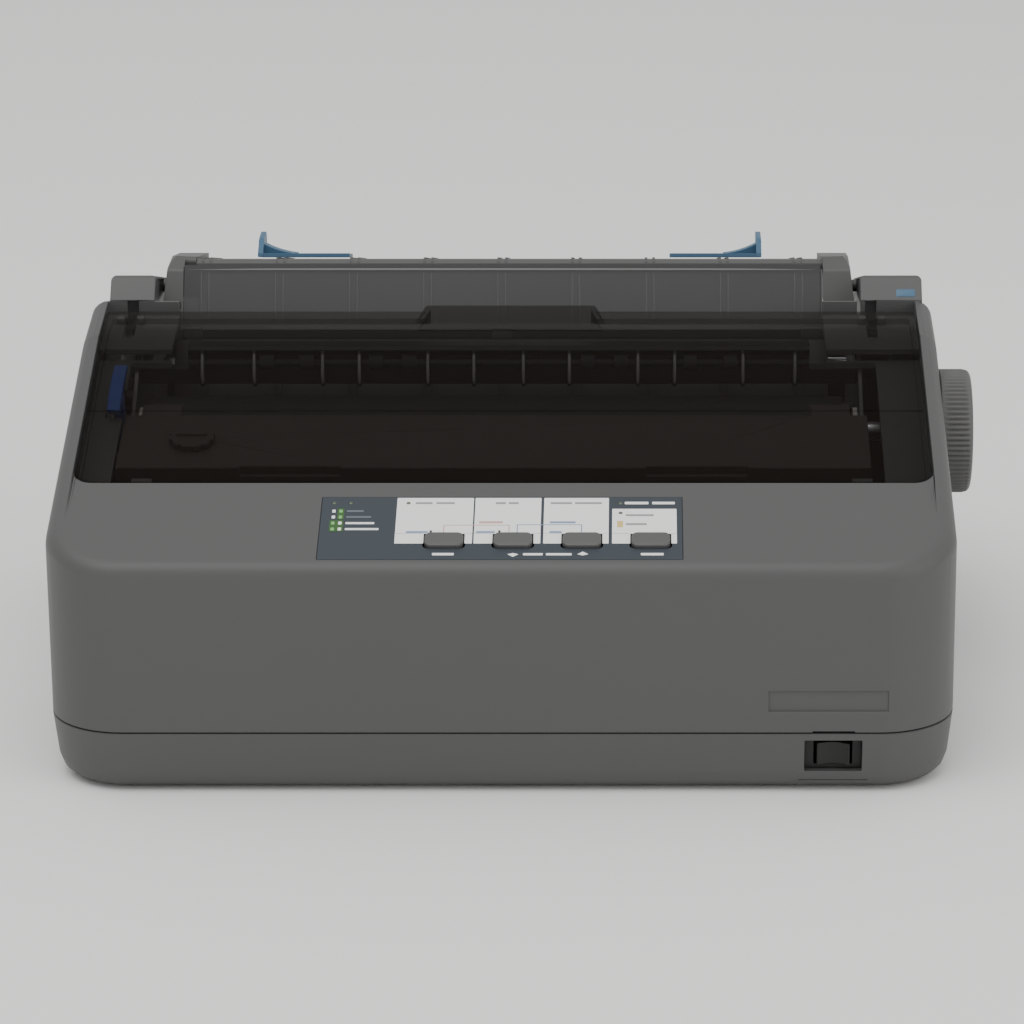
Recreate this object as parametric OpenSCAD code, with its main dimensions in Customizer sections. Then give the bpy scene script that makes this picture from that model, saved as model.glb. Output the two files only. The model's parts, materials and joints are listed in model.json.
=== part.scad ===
// Narrow-carriage dot matrix printer with a hinged smoked cover.
// Case frame: x = 0 on the case's centreline, y = 0 at its front face, z = 0 where the feet stand.

/* [Case] */
// Width of the case without the knob
case_w = 348; // [320:1:420]
// Depth of the case, front to back
case_d = 275; // [262:1:320]
// Height of the joint between lower and upper case
seam_z = 25.5; // [22:0.5:30]
// Gap that shows at the joint
seam_gap = 0.5; // [0.3:0.1:1]
// Wall thickness of both cases
wall = 2.6; // [2:0.1:3.5]
// Plan radius of the front corners
corner_r = 30; // [20:1:36]
// Plan radius of the rear corners
rear_r = 14; // [10:1:20]
// Radius along the upper edges
edge_r = 7; // [5:0.5:9]
// Height of the deck at the front fold
deck_z0 = 91.1; // [86:0.5:96]
// Slope of the deck in degrees
deck_a = 17; // [14:0.5:18]
// Where the deck flattens, measured from the front
bend_y = 156; // [150:1:160]
// Slope of the rear strip of the deck in degrees
rear_a = 7; // [5:0.5:9]
// Where the deck ends and the ears start
shoulder_y = 189; // [187:1:191]
// Height of the upper case at its rear edge
rear_z = 112; // [106:1:118]
// How far the ears rise above the deck
ear_h = 8.6; // [7:0.2:10]
// Left ear, from its outer side to its inner side
ear_left = [-166.4, -147.9];
// Right ear, from its inner side to its outer side
ear_right = [144.6, 170.1];
// Height of the rubber feet below the lower case
foot_h = 2; // [1.5:0.5:3]
// Diameter of a foot
foot_d = 16; // [12:1:20]

/* [Cover] */
// Width of the smoked cover
cover_w = 332; // [316:1:340]
// Front edge of the cover
cover_y0 = 55.5; // [52:0.5:60]
// Rear edge of the cover
cover_y1 = 178; // [174:0.5:180]
// Thickness of the cover
cover_t = 2.4; // [2:0.1:3]
// Corner radius of the cover
cover_r = 7; // [5:1:10]
// Gap between the cover and the case
cover_gap = 0.9; // [0.6:0.1:1.5]
// Depth of the ledge below the deck, on both sides
ledge_drop = 11; // [9:0.5:13]
// Opening angle of the cover
cover_open = 92; // [60:1:95]

/* [Paper guide] */
// Upper edge of the smoked window, [y, z]
window_top = [210, 152.8];
// Lower edge of the smoked window, [y, z]
window_low = [198, 128];
// Thickness of the window
window_t = 2.2; // [1.6:0.1:2.6]
// Spacing of the guide ribs
rib_pitch = 31; // [28:0.5:34]
// Width between the edge guides
sheet_w = 210; // [148:1:216]
// Thickness of the guide plate
guide_t = 2.6; // [2:0.1:3]

/* [Controls] */
// Width of the control panel plate
panel_w = 138; // [130:1:150]
// Spacing of the four keys
key_pitch = 26.15; // [24:0.05:27]
// Width of a key
key_w = 15.2; // [13:0.1:18]
// How far a key stands proud
key_up = 1.3; // [1:0.1:2]
// Travel of a key
key_travel = 0.9; // [0.5:0.1:1]
// Centre of the power switch
switch_x = 126.6; // [110:0.5:130]

/* [Mechanism] */
// Centre of the paper path
mech_x = -4.6; // [-6:0.1:0]
// Half distance between the side frames
frame_in = 146.6; // [144:0.2:148]
// Thickness of the side frames
frame_t = 1.6; // [1.2:0.1:2]
// Platen axis, [y, z]
platen = [150, 99];
// Radius of the platen roller
platen_r = 14; // [12:0.5:15]
// Half length of the platen roller
platen_half = 140; // [130:1:143]
// Diameter of the platen shaft
shaft_d = 8; // [7:0.5:9]
// Radius of the platen knob
knob_r = 25.2; // [22:0.2:27]
// How far the knob stands out of the case
knob_out = 13.6; // [12:0.2:18]
// Number of flutes on the knob
knob_n = 72; // [48:1:80]
// Depth of a flute
flute = 0.7; // [0.4:0.1:1]
// Carriage guide shaft axis, [y, z]
rod = [116, 52];
// Diameter of the carriage guide shaft
rod_d = 10; // [8:0.5:11]
// Tilt of the print head below the horizontal
head_a = 25; // [22:1:28]
// Carriage travel to each side of the middle
carriage_travel = 103; // [95:1:105]
// Pitch radius of the belt pulleys
pulley_r = 6; // [5:0.5:7]
// Gear module
gear_m = 1; // [0.9:0.05:1.05]
// Running clearance on a radius
run = 0.05; // [0.02:0.01:0.1]
// Half distance between the tractor units
tractor_half = 112; // [60:1:114]

/* [Hidden] */

half_w = case_w / 2;
gap = 0.3;                                   // between faces of pieces that move past each other
tiny = 0.02;                                 // overlap of solids that are joined
function deck_z(y) = y <= bend_y ? deck_z0 + y * tan(deck_a)
  : deck_z0 + bend_y * tan(deck_a) + (y - bend_y) * tan(rear_a);
shoulder_z = deck_z(shoulder_y);
body_a = atan2(shoulder_z - rear_z, case_d - edge_r - shoulder_y);   // slope behind the ears
ear_top_y = shoulder_y + 8;
ear_top_z = shoulder_z + ear_h;
ear_a = 16;                                   // slope of the ears' tops
ear_end_y = case_d - 16;
ear_r = 2.4;                                  // radius along the ears' upper side edges

// side profile of the smoked cover, and where it hinges
hinge = [cover_y1 + 3.6, deck_z(cover_y1) - 5.4];
hinge_drop = 6.2;                             // depth of the ledge below the rear strip of the cover
hinge_pin_d = 3;
bearing_d = 5.4;
step_y = bend_y - 1;                          // where the ledge steps up
well_x = [-154, 149];                         // well over the mechanism
hinge_x = [-156.8, 148.8];
hinge_arm_w = 3;
rest_x = [-140.5, 139.3];                     // rests for the front of the cover
rest_w = 8;

// paper guide
guide_pivot = [226, 139.5];
guide_x = [ear_left[1] + 0.8, ear_right[0] - 0.8];
cheek_w = 14;
window_x = [guide_x[0] + 9.8, guide_x[1] - cheek_w - 1.2];
bay_x = [window_x[0] - 0.3, window_x[1] + 0.3];   // case opening in front of the window
crest = [220.5, 152.7];
guide_a = -15.5;                              // slope of the guide plate behind its crest
guide_len = 49;
guide_n = 4;                                  // ribs to each side of the middle one
trunnion_d = 5;

// mechanism
frame_x0 = mech_x - frame_in;
frame_x1 = mech_x + frame_in;
gear_x = mech_x - 163.6;                      // outer face of the gear train
gear_w = 6;
z_platen = 38;                                // teeth
z_feed = 28;
z_pinion = 10;
z_link = 36;
z_tractor = 30;
base_z = 30;
base_t = 1.6;
function gear_r(n) = n * gear_m / 2;
function polar(c, r, a) = [c[0] + r * cos(a), c[1] + r * sin(a)];
feed_a = -60;                                 // direction from the platen to the feed idler
pinion_a = -45;
tractor_a = 4;
feed_c = polar(platen, gear_r(z_platen + z_feed), feed_a);
pinion_c = polar(feed_c, gear_r(z_feed + z_pinion), pinion_a);
link_c = polar(platen, gear_r(z_platen + z_link), tractor_a);
tractor_c = polar(platen, gear_r(z_platen + 2 * z_link + z_tractor), tractor_a);
rail_c = [tractor_c[0] + 23, tractor_c[1] - 4];
lever_x = [-159.5, -154.2];
lever_c = [146, 62];                          // axis of the thickness lever, [y, z]
lever_r = 67.2;
release_x = [159, 164];
release_c = [214, 108];
stud_d = 5;
belt_y = 87;
belt_z = 40;
belt_w = 6;
belt_t = 1.2;
belt_half = 125;
head_gap = 2.4;                               // from the platen to the head's nose
ribbon_gap = 1.2;
ribbon_t = 0.2;
ribbon_h = 13;
home_x = mech_x - carriage_travel;
cart_a = 14.7;
cart_front = [82, 105];
cart_len = 39.3;
cart_h = 12;
cart_half = 148.6;
ribbon_knob_at = [-120, 20];
tension_rod = [159, 125.2];
tension_half = 127;
tension_rib = [10.1, 28.9, 56.9, 71.9, 99.8, 121];
tension_roller = [36.4, 50.1, 78.2, 94.6];
board_z = 9;
board_t = 1.6;
seat = [[-95, 100], [50, 100], [-95, 235], [50, 235], [72, 100], [150, 100], [72, 208], [150, 208]];
post = [[-136, 122], [104, 84], [-140, 226], [125, 226]];
post_d = 10;

// inlet and sockets at the back
inlet_x = 128;
inlet_z = 44;
usb_x = 30;
parallel_x = -35;

// ---- helpers ----

// points of an arc in a profile
function arc(c, r, a0, a1, n = 6) = [for (i = [0:n]) [c[0] + r * cos(a0 + (a1 - a0) * i / n),
  c[1] + r * sin(a0 + (a1 - a0) * i / n)]];

// carries a (y, z) profile along x
module along_x(x0, x1) {
  translate([x0, 0, 0]) rotate([90, 0, 90]) linear_extrude(x1 - x0) children();
}

// a cylinder along x
module rod_x(c, d, x0, x1, fn = 48) {
  translate([x0, c[0], c[1]]) rotate([0, 90, 0]) cylinder(d = d, h = x1 - x0, $fn = fn);
}

// a cylinder along y
module rod_y(x, y, z, d, h) {
  translate([x, y, z]) rotate([-90, 0, 0]) cylinder(d = d, h = h, $fn = 32);
}

// box from one corner to the other
module block(a, b) {
  translate(a) cube(b - a);
}

// outline with rounded corners, from its corners
module round_rect(x0, y0, x1, y1, r) {
  translate([x0 + r, y0]) square([x1 - x0 - 2 * r, y1 - y0]);
  translate([x0, y0 + r]) square([x1 - x0, y1 - y0 - 2 * r]);
  for (x = [x0 + r, x1 - r], y = [y0 + r, y1 - r]) translate([x, y]) circle(r, $fn = 32);
}

// places things on the deck plane: x across, y up the slope from the fold, z out of the deck
module on_deck(y = 0) {
  translate([0, y, deck_z(y)]) rotate([deck_a, 0, 0]) children();
}

// places things at the print head: -y runs from the platen axis along the head
module at_head() {
  translate([0, platen[0], platen[1]]) rotate([head_a, 0, 0]) children();
}

// places things on the cartridge's top face, from its front edge
module on_cartridge() {
  translate([mech_x, cart_front[0], cart_front[1]]) rotate([cart_a, 0, 0]) children();
}

// straight-flanked gear around x with a bore; one tooth at angle a0
module gear(c, n, a0, x0, w, bore) {
  r = gear_r(n);
  ro = r + 0.75 * gear_m;
  ri = r - 0.95 * gear_m;
  step = 360 / n;
  along_x(x0, x0 + w) translate(c) difference() {
    polygon([for (i = [0:n - 1], p = [[ri, -0.27], [ro, -0.13], [ro, 0.13], [ri, 0.27]])
      [p[0] * cos(a0 + (i + p[1]) * step), p[0] * sin(a0 + (i + p[1]) * step)]]);
    circle(d = bore, $fn = 40);
  }
}

// ---- case ----

// the outer form of both cases above the joint, drawn in by w
module case_form(w) {
  r = edge_r - w;
  drop = edge_r / cos(deck_a);
  hull() {
    for (s = [-1, 1]) {
      translate([s * (half_w - corner_r), corner_r, seam_z - (w > 0 ? 2 : 0)])
        cylinder(r = corner_r - w, h = 1, $fn = 64);
      translate([s * (half_w - rear_r), case_d - rear_r, seam_z - (w > 0 ? 2 : 0)])
        cylinder(r = rear_r - w, h = 1, $fn = 40);
      translate([s * (half_w - corner_r), corner_r, deck_z(corner_r) - drop]) rotate([deck_a, 0, 0])
        rotate_extrude($fn = 56) translate([corner_r - edge_r, 0]) circle(r, $fn = 24);
      translate([s * (half_w - edge_r), bend_y, deck_z(bend_y) - drop]) sphere(r, $fn = 24);
      translate([s * (half_w - edge_r), shoulder_y, shoulder_z - edge_r]) sphere(r, $fn = 24);
      translate([s * (half_w - rear_r), case_d - rear_r, rear_z - edge_r])
        rotate_extrude($fn = 32) translate([rear_r - edge_r, 0]) circle(r, $fn = 16);
    }
  }
}

// an ear behind the deck: front slope, then a long slope to the back
module ear(x0, x1) {
  r = 3;
  low = shoulder_z - 8;
  end_z = ear_top_z - (ear_end_y - ear_top_y) * tan(ear_a);
  intersection() {
    along_x(x0, x1) polygon(concat([[shoulder_y, low], [shoulder_y, shoulder_z + 0.6]],
      arc([ear_top_y + 1, ear_top_z - r], r, 130, 90 - ear_a, 5),
      [[ear_end_y, end_z], [ear_end_y + 5, end_z - 4], [ear_end_y + 7, end_z - 22],
      [ear_end_y, end_z - 26]]));
    translate([0, ear_top_y, ear_top_z + 0.45]) rotate([90 - ear_a, 0, 0]) translate([0, 0, -110])
      linear_extrude(140) round_rect(x0, -70, x1, 0, ear_r);
  }
}

// the space below the deck under the cover, with a higher floor at the rear; e widens it
module pocket(e, drop, back_drop, up) {
  x0 = cover_w / 2 + cover_gap + e;
  y0 = cover_y0 - cover_gap - e;
  front = deck_z(y0);
  step = deck_z(step_y);
  intersection() {
    linear_extrude(300) round_rect(-x0, y0, x0, case_d, cover_r + cover_gap + e);
    along_x(-x0, x0) polygon([[y0, front - drop], [step_y, step - drop], [step_y, step - back_drop],
      [shoulder_y + e, shoulder_z - back_drop], [shoulder_y + e, shoulder_z + up], [step_y, step + up],
      [y0, front + up]]);
  }
}

module upper_case() {
  color([0.40, 0.40, 0.40]) difference() {
    union() {
      difference() {
        case_form(0);
        case_form(wall);
      }
      intersection() {
        case_form(0.4);
        pocket(wall, ledge_drop + wall, hinge_drop + wall, 30);
      }
      ear(ear_left[0], ear_left[1]);
      ear(ear_right[0], ear_right[1]);
      // stud of the release lever
      rod_x(release_c, stud_d, release_x[0] - 1.4, half_w - 1);
      rod_x(release_c, stud_d + 3, release_x[1] + gap, half_w - 1);
    }
    // the cover's seat, down to the ledge; the bearings of its hinge stand on the rear ledge
    difference() {
      pocket(0, ledge_drop, hinge_drop, 60);
      for (x = hinge_x, s = [-4, 4]) translate([x + s, hinge[0], 0]) hull() {
        rod_x([0, hinge[1]], bearing_d, -1.6, 1.6, 32);
        block([-1.6, -bearing_d / 2, 120], [1.6, bearing_d / 2, 121]);
      }
      // rests below the cover's front corners
      for (x = rest_x) on_deck(58.6) block([x - rest_w / 2, 0, -20], [x + rest_w / 2, 2.6, -cover_t - gap]);
    }
    // well over the mechanism
    intersection() {
      on_deck() translate([0, 0, -60]) linear_extrude(120)
        round_rect(well_x[0], (cover_y0 + 6) / cos(deck_a), well_x[1], case_d, 4);
      block([-half_w, 0, 0], [half_w, step_y - 1.6, 300]);
    }
    block([bay_x[0], step_y - 10, 70], [bay_x[1], 205, 200]);
    // bay of the paper guide between the ears
    block([ear_left[1], shoulder_y + 7, 70], [ear_right[0], case_d - 8, 200]);
    // gap between the strip in front of the bay and the right ear
    block([guide_x[1] - 0.6, shoulder_y - 1, shoulder_z - hinge_drop + 0.4],
      [ear_right[0], shoulder_y + 8, 200]);
    // slot for continuous paper in the back
    block([-126, case_d - 20, 84], [118, case_d + 5, 200]);
    // seats for the cover's hinge arms
    for (x = hinge_x) {
      block([x - 2.3, cover_y1 - 11, 110], [x + 2.3, shoulder_y, 200]);
      block([x - 2.3, shoulder_y - tiny, 110], [x + 2.3, shoulder_y + 3.2, shoulder_z + 0.3]);
      rod_x(hinge, hinge_pin_d + 2 * run, x - 6, x + 6);
    }
    // slot for the thickness lever in the left ledge
    along_x(lever_x[0] - 1.2, well_x[0] + 1) translate(lever_c) rotate(deck_a)
      translate([-14, 50]) square([20, 16]);
    // slot for the release lever in the right ear
    block([release_x[0] - 1.5, 215, release_c[1] + 6], [release_x[1] + 1.5, 240, 200]);
    // bores for the guide's trunnions
    rod_x(guide_pivot, trunnion_d + 2 * run, ear_left[1] - 6, ear_left[1] + 1);
    rod_x(guide_pivot, trunnion_d + 2 * run, ear_right[0] - 1, ear_right[0] + 6);
    // opening for the platen shaft
    rod_x(platen, shaft_d + 3, half_w - 8, half_w + 2);
    // control panel: a shallow seat for its plate, lamp holes and four key wells
    for (p = lamp_place) on_deck(p[1]) translate([p[0], 0, -8]) cylinder(d = 2.4, h = 12, $fn = 24);
    on_deck(26) translate([0, 0, -0.8]) linear_extrude(3) square([panel_w + 0.4, 40.9], center = true);
    for (i = [0:3]) key_place(i) translate([0, 0, -8]) linear_extrude(14)
      round_rect(-key_w / 2 - 0.45, -4.75, key_w / 2 + 0.45, 4.75, 2);
    // shallow field for a plate, left bare
    block([101.6, -1, 34], [147.3, 0.95, 42.2]);
    // cut above the switch
    block([switch_x - 8, -1, seam_z - 2], [switch_x + 8, wall + 1, seam_z + 0.6]);
    // sockets at the back
    block([inlet_x - 14.2, case_d - 8, inlet_z - 10.2], [inlet_x + 14.2, case_d + 1, inlet_z + 10.2]);
    // cooling slots at the back
    for (i = [0:9]) block([60 + 5 * i - 1.2, case_d - 8, 40], [60 + 5 * i + 1.2, case_d + 1, 70]);
  }
}

// the lower case's form, drawn in by w
module tray_form(w, top) {
  hull() for (q = [[top, 0], [9, 1.8], [4.6, 3.4], [2.2, 6]]) for (s = [-1, 1]) {
    z = q[0] == top ? top : max(q[0], foot_h + w + (q[0] - 2.2) * 0.8);
    translate([s * (half_w - corner_r), corner_r, z - 0.2])
      cylinder(r = corner_r - q[1] - w, h = 0.2, $fn = 64);
    translate([s * (half_w - rear_r), case_d - rear_r, z - 0.2])
      cylinder(r = rear_r - q[1] - w, h = 0.2, $fn = 32);
  }
}

module foot_places() {
  for (x = [-135, 135], y = [32, case_d - 26]) translate([x, y, 0]) children();
}

module lower_case() {
  top = seam_z - seam_gap;
  color([0.36, 0.36, 0.36]) difference() {
    union() {
      difference() {
        tray_form(0, top);
        tray_form(wall, top + 3);
      }
      for (p = post) translate([p[0], p[1], foot_h + 1])
        cylinder(d = post_d, h = base_z - foot_h - 1, $fn = 40);
      for (p = seat) translate([p[0], p[1], foot_h + 1]) cylinder(d = 7, h = board_z - foot_h - 1, $fn = 24);
      foot_places() translate([0, 0, foot_h + 1]) cylinder(d = foot_d + 5, h = 3.4, $fn = 40);
      // walls around the switch
      block([switch_x - 13, 3, 5], [switch_x + 13, 14, top]);
    }
    foot_places() translate([0, 0, -1]) cylinder(d = foot_d + 0.4, h = foot_h + 3.2, $fn = 40);
    for (p = post) translate([p[0], p[1], 0]) {
      cylinder(d = 3.2, h = 60, $fn = 24);
      cylinder(d = 7.4, h = foot_h + 6, $fn = 24);
    }
    // recess of the power switch, then its hole
    block([switch_x - 11, -1, 9.1], [switch_x + 11, 6.5, 22.2]);
    block([switch_x - 9.4, -1, 10.2], [switch_x + 9.4, 16, 21.1]);
    // sockets at the back
    block([parallel_x - 29, case_d - 9, 10.4], [parallel_x + 29, case_d + 1, 24.2]);
    block([usb_x - 6.4, case_d - 9, 10.4], [usb_x + 6.4, case_d + 1, 22]);
    // vents in the floor
    for (i = [0:11]) block([70 + 6 * i, 130, 0], [73 + 6 * i, 200, 12]);
  }
}

module feet() {
  color([0.12, 0.12, 0.12]) foot_places() {
    cylinder(d1 = foot_d - 2, d2 = foot_d, h = 1, $fn = 40);
    translate([0, 0, 1 - tiny]) cylinder(d = foot_d, h = foot_h + 1 + tiny, $fn = 40);
  }
}

module case_screws() {
  color([0.75, 0.75, 0.75]) for (p = post) translate([p[0], p[1], foot_h + 3.7]) {
    cylinder(d = 6.6, h = 2.3, $fn = 24);
    cylinder(d = 3, h = base_z + base_t - foot_h - 2.6, $fn = 24);
  }
}

// ---- smoked cover ----

// (y, z) profile of the cover's sheet, from its upper face down by t
module cover_profile(t, y0, y1) {
  lift = 0.1;
  polygon([[y0, deck_z(y0) + lift], [bend_y - 3, deck_z(bend_y - 3) + lift],
    [bend_y + 4, deck_z(bend_y + 4) + lift - 0.1], [y1, deck_z(y1) + lift],
    [y1, deck_z(y1) + lift - t], [bend_y + 4, deck_z(bend_y + 4) + lift - t],
    [bend_y - 3, deck_z(bend_y - 3) + lift - t], [y0, deck_z(y0) + lift - t]]);
}

// a profile of (y, height over the deck) points, cut to the outline of the cover's finger grip
module grip_form(half, points) {
  intersection() {
    along_x(-half[1], half[1]) polygon([for (p = points) [p[0], deck_z(p[0]) + p[1]]]);
    linear_extrude(300) polygon([[-half[1], 161], [half[1], 161], [half[0], cover_y1], [half[0], 200],
      [-half[0], 200], [-half[0], cover_y1]]);
  }
}

module printer_cover() {
  grip = [34.5, 40.5];
  rim = 5;
  x1 = cover_w / 2;
  color([0.16, 0.14, 0.13, 0.75]) difference() {
    union() {
      intersection() {
        along_x(-x1, x1) cover_profile(rim, cover_y0, cover_y1);
        linear_extrude(200) round_rect(-x1, cover_y0, x1, cover_y1 + cover_r, cover_r);
      }
      // finger grip on the rear edge
      grip_form(grip, [[161.5, -1], [166, 0.3], [175, 2.8], [cover_y1, 2.8], [cover_y1, -1]]);
      // hinge arms
      for (x = hinge_x) along_x(x - hinge_arm_w / 2, x + hinge_arm_w / 2)
        polygon(concat([[cover_y1 - 9, deck_z(cover_y1 - 9) - 1], [cover_y1 - 9, deck_z(cover_y1) - 4]],
          arc(hinge, 2.6, -130, 60, 8), [[cover_y1, deck_z(cover_y1) - 0.5]]));
      for (x = hinge_x) rod_x(hinge, hinge_pin_d, x - 4.2, x + 4.2);
    }
    // hollow underside
    intersection() {
      along_x(2 - x1, x1 - 2) translate([0, -cover_t]) cover_profile(rim, cover_y0 + 2, cover_y1 - 1.6);
      linear_extrude(200) round_rect(2 - x1, cover_y0 + 2, x1 - 2, cover_y1 + cover_r, cover_r - 2);
      union() {
        block([-x1, 0, 0], [hinge_x[0] - 1.5, 300, 300]);
        block([hinge_x[0] + 1.5, 0, 0], [hinge_x[1] - 1.5, 300, 300]);
        block([hinge_x[1] + 1.5, 0, 0], [x1, 300, 300]);
        block([-x1, 0, 0], [x1, cover_y1 - 9, 300]);
      }
    }
    // hollow of the finger grip
    grip_form(grip - [1.6, 1.6], [[164, -6], [164, -2.2], [167, -1.2], [175.4, 1.2], [cover_y1 + 1, 1.2],
      [cover_y1 + 1, -6]]);
    // fine crease across the sheet
    on_deck(102) translate([-x1, -0.4, -0.4]) cube([2 * x1, 0.8, 2]);
  }
}

// ---- paper guide ----

// places things at the pairs of ribs that the paper runs on
module at_ribs() {
  for (i = [-guide_n:guide_n], s = [-1.6, 1.6]) translate([mech_x + i * rib_pitch + s, 0, 0]) children();
}

module paper_window() {
  a = atan2(window_top[1] - window_low[1], window_top[0] - window_low[0]);
  len = norm(window_top - window_low);
  mid = (window_x[0] + window_x[1]) / 2;
  color([0.31, 0.31, 0.31, 0.9]) {
    translate([0, window_low[0], window_low[1]]) rotate([a, 0, 0]) {
      translate([window_x[0], 0, -window_t]) cube([window_x[1] - window_x[0], len, window_t]);
      // pairs of guide ribs on the back
      at_ribs() translate([-0.4, 1, -window_t - 0.5]) cube([0.8, len - 3, 0.5 + tiny]);
    }
    // feet that stand on the chute
    for (x = [window_x[0], mid - 4, window_x[1] - 8]) block([x, 196.6, 124.4], [x + 8, 200.4, 129]);
  }
}

// end cheek of the guide: its outer side at x leans in, s points inwards, its front is beside the window
module cheek(x, s, front_w) {
  translate([x, 0, 0]) mirror([s < 0 ? 1 : 0, 0, 0]) intersection() {
    union() {
      along_x(0, cheek_w) polygon(concat([[216.5, 137]], arc([218.7, 151.9], 2.2, 180, 75, 5), [[226, 152.2],
        [269.4, 142.2], [269.4, 137.4], [230, 136]]));
      along_x(0, front_w) polygon(concat([[203.4, 138.2]], arc([211.2, 149], 2.4, 160, 115, 4),
        [[218.2, 153.8], [219.4, 150], [219.4, 137.2]]));
    }
    rotate([90, 0, 0]) translate([0, 0, -400]) linear_extrude(800)
      polygon([[0, 130], [cheek_w, 130], [cheek_w, 160], [5.2, 160], [5.2, 154], [3.8, 153], [2.6, 151.2]]);
  }
}

module paper_guide() {
  x0 = guide_x[0];
  x1 = guide_x[1];
  color([0.42, 0.42, 0.42]) {
    cheek(x0, 1, bay_x[0] - x0);
    cheek(x1, -1, cheek_w);
    // crest bar and plate in one profile
    along_x(x0 + cheek_w - 1, x1 - cheek_w + 1) polygon(concat([[216.8, 147.2]],
      arc([218.8, crest[1] - 2.1], 2, 180, 100, 4), [crest, polar(crest, guide_len, guide_a),
      polar(crest - [0, guide_t], guide_len, guide_a), crest + [2, -4], [219.4, 147.2]]));
    // ribs over the crest
    at_ribs() along_x(-0.5, 0.5)
      polygon([[216.9, crest[1] - 4.8], [216.2, crest[1] - 3.3], [217.4, crest[1] - 0.4], crest + [0, 0.6],
        polar(crest + [0, 0.6], guide_len - 4, guide_a), polar(crest - [0, 1], guide_len - 4, guide_a),
        crest - [0, 2]]);
    // trunnions in the ears
    rod_x(guide_pivot, trunnion_d, x0 - 4.6, x0 + 2);
    rod_x(guide_pivot, trunnion_d, x1 - 2, x1 + 4.6);
  }
}

// an edge guide: upright fin, long curved braces and base plate that slides on the guide; s points inwards
module edge_guide(x, s) {
  slide = 252;
  up = 0.9;
  half_y = 11;
  translate([x, slide, crest[1] + (slide - crest[0]) * tan(guide_a) + up]) mirror([s < 0 ? 1 : 0, 0, 0]) {
    rotate([guide_a, 0, 0]) translate([0, -half_y, 0]) cube([39, 2 * half_y, 1.6]);
    along_x(0, 2.2) polygon([[-half_y, -half_y * tan(guide_a)], [-half_y + 0.6, 4.6], [-2, 9],
      [half_y - 2, 9], [half_y, 6.6], [half_y, half_y * tan(guide_a) + 0.1]]);
    for (b = [[-3, 1.5], [7, -1.1]]) translate([0, b[0], b[1]]) rotate([90, 0, 0])
      linear_extrude(2.4, center = true) polygon(concat([[0, 0]], arc([19.7, 37.4], 36.4, -95.8, -122.8, 7)));
  }
}

module edge_guide_left() {
  color([0.30, 0.43, 0.53]) edge_guide(mech_x + 2.4 - sheet_w / 2 - 2.2, 1);
}

module edge_guide_right() {
  color([0.30, 0.43, 0.53]) edge_guide(mech_x + 2.4 + sheet_w / 2 + 2.2, -1);
}

// ---- control panel ----

// middle of key i in the deck plane
module key_place(i) {
  on_deck(17.9) translate([(i - 1.5) * key_pitch + 17.8, 0, 0]) children();
}

lamp_place = [[-64.3, 41.6], [-57.9, 41.6], [-35.9, 41.6], [45.5, 41.6], [45.5, 35.4]];

module panel_plate() {
  color([0.29, 0.33, 0.37]) difference() {
    on_deck(26) translate([0, 0, -0.8]) linear_extrude(0.7) square([panel_w, 40.5], center = true);
    for (i = [0:3]) key_place(i) translate([0, 0, -3]) linear_extrude(6)
      round_rect(-key_w / 2 - 0.45, -4.75, key_w / 2 + 0.45, 4.75, 2);
    for (p = lamp_place) on_deck(p[1]) translate([p[0], 0, -3]) cylinder(d = 1.9, h = 6, $fn = 24);
  }
}

// a key cap with a stem that ends above its switch on the board
module key(i) {
  color([0.41, 0.41, 0.41]) key_place(i) {
    translate([0, 0, -3.4]) linear_extrude(3.4 + key_up) round_rect(-key_w / 2, -4.3, key_w / 2, 4.3, 1.8);
    translate([0, 0, -5.6]) cylinder(d = 4, h = 3, $fn = 32);
  }
}

module panel_board() {
  color([0.10, 0.30, 0.18]) {
    on_deck(26) translate([0, 0, -10.6]) linear_extrude(1.6) square([panel_w - 4, 38], center = true);
    for (i = [0:3]) key_place(i) {
      translate([0, 0, -9.2]) linear_extrude(2) square(6, center = true);
      translate([0, 0, -7.4]) cylinder(d = 3.4, h = 0.7, $fn = 24);
    }
    // pegs that hold the board under the deck
    for (p = [[-50, -14], [44, -14], [-50, 14], [60, 14]]) on_deck(26) translate([p[0], p[1], -9.2])
      cylinder(d = 4, h = 6.2, $fn = 24);
  }
}

module status_lamps() {
  color([0.30, 0.62, 0.22]) for (p = lamp_place) on_deck(p[1]) translate([p[0], 0, -9]) {
    cylinder(d = 1.8, h = 8.8, $fn = 24);
  }
}

// ---- power switch ----

rocker_y = 9;                                 // the rocker's axis runs along z

module power_switch() {
  color([0.10, 0.10, 0.10]) difference() {
    union() {
      block([switch_x - 10.8, 5, 9.3], [switch_x + 10.8, 6.4, 22]);
      block([switch_x - 9.2, 6.3, 10.4], [switch_x + 9.2, 25, 20.9]);
      for (x = [-5, 0, 5]) block([switch_x + x - 0.4, 23.8, 13], [switch_x + x + 0.4, 31, 18]);
    }
    block([switch_x - 7.3, 2, 11], [switch_x + 7.3, 16, 20.3]);
    translate([switch_x, rocker_y, 10.5]) cylinder(d = 2 + 2 * run, h = 10.3, $fn = 32);
  }
}

module power_rocker() {
  color([0.16, 0.16, 0.16]) {
    translate([switch_x, rocker_y, 11.3]) linear_extrude(8.7)
      polygon(concat([[-5.9, -1.6], [-6.3, -5.2]], arc([-0.5, -17], 12.6, 116, 66, 8),
        [[6.3, -6.9], [5.9, -1.6], [2, 2], [-2, 2]]));
    translate([switch_x, rocker_y, 10.6]) cylinder(d = 2, h = 10.1, $fn = 32);
  }
}

// ---- platen and paper feed ----

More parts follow.
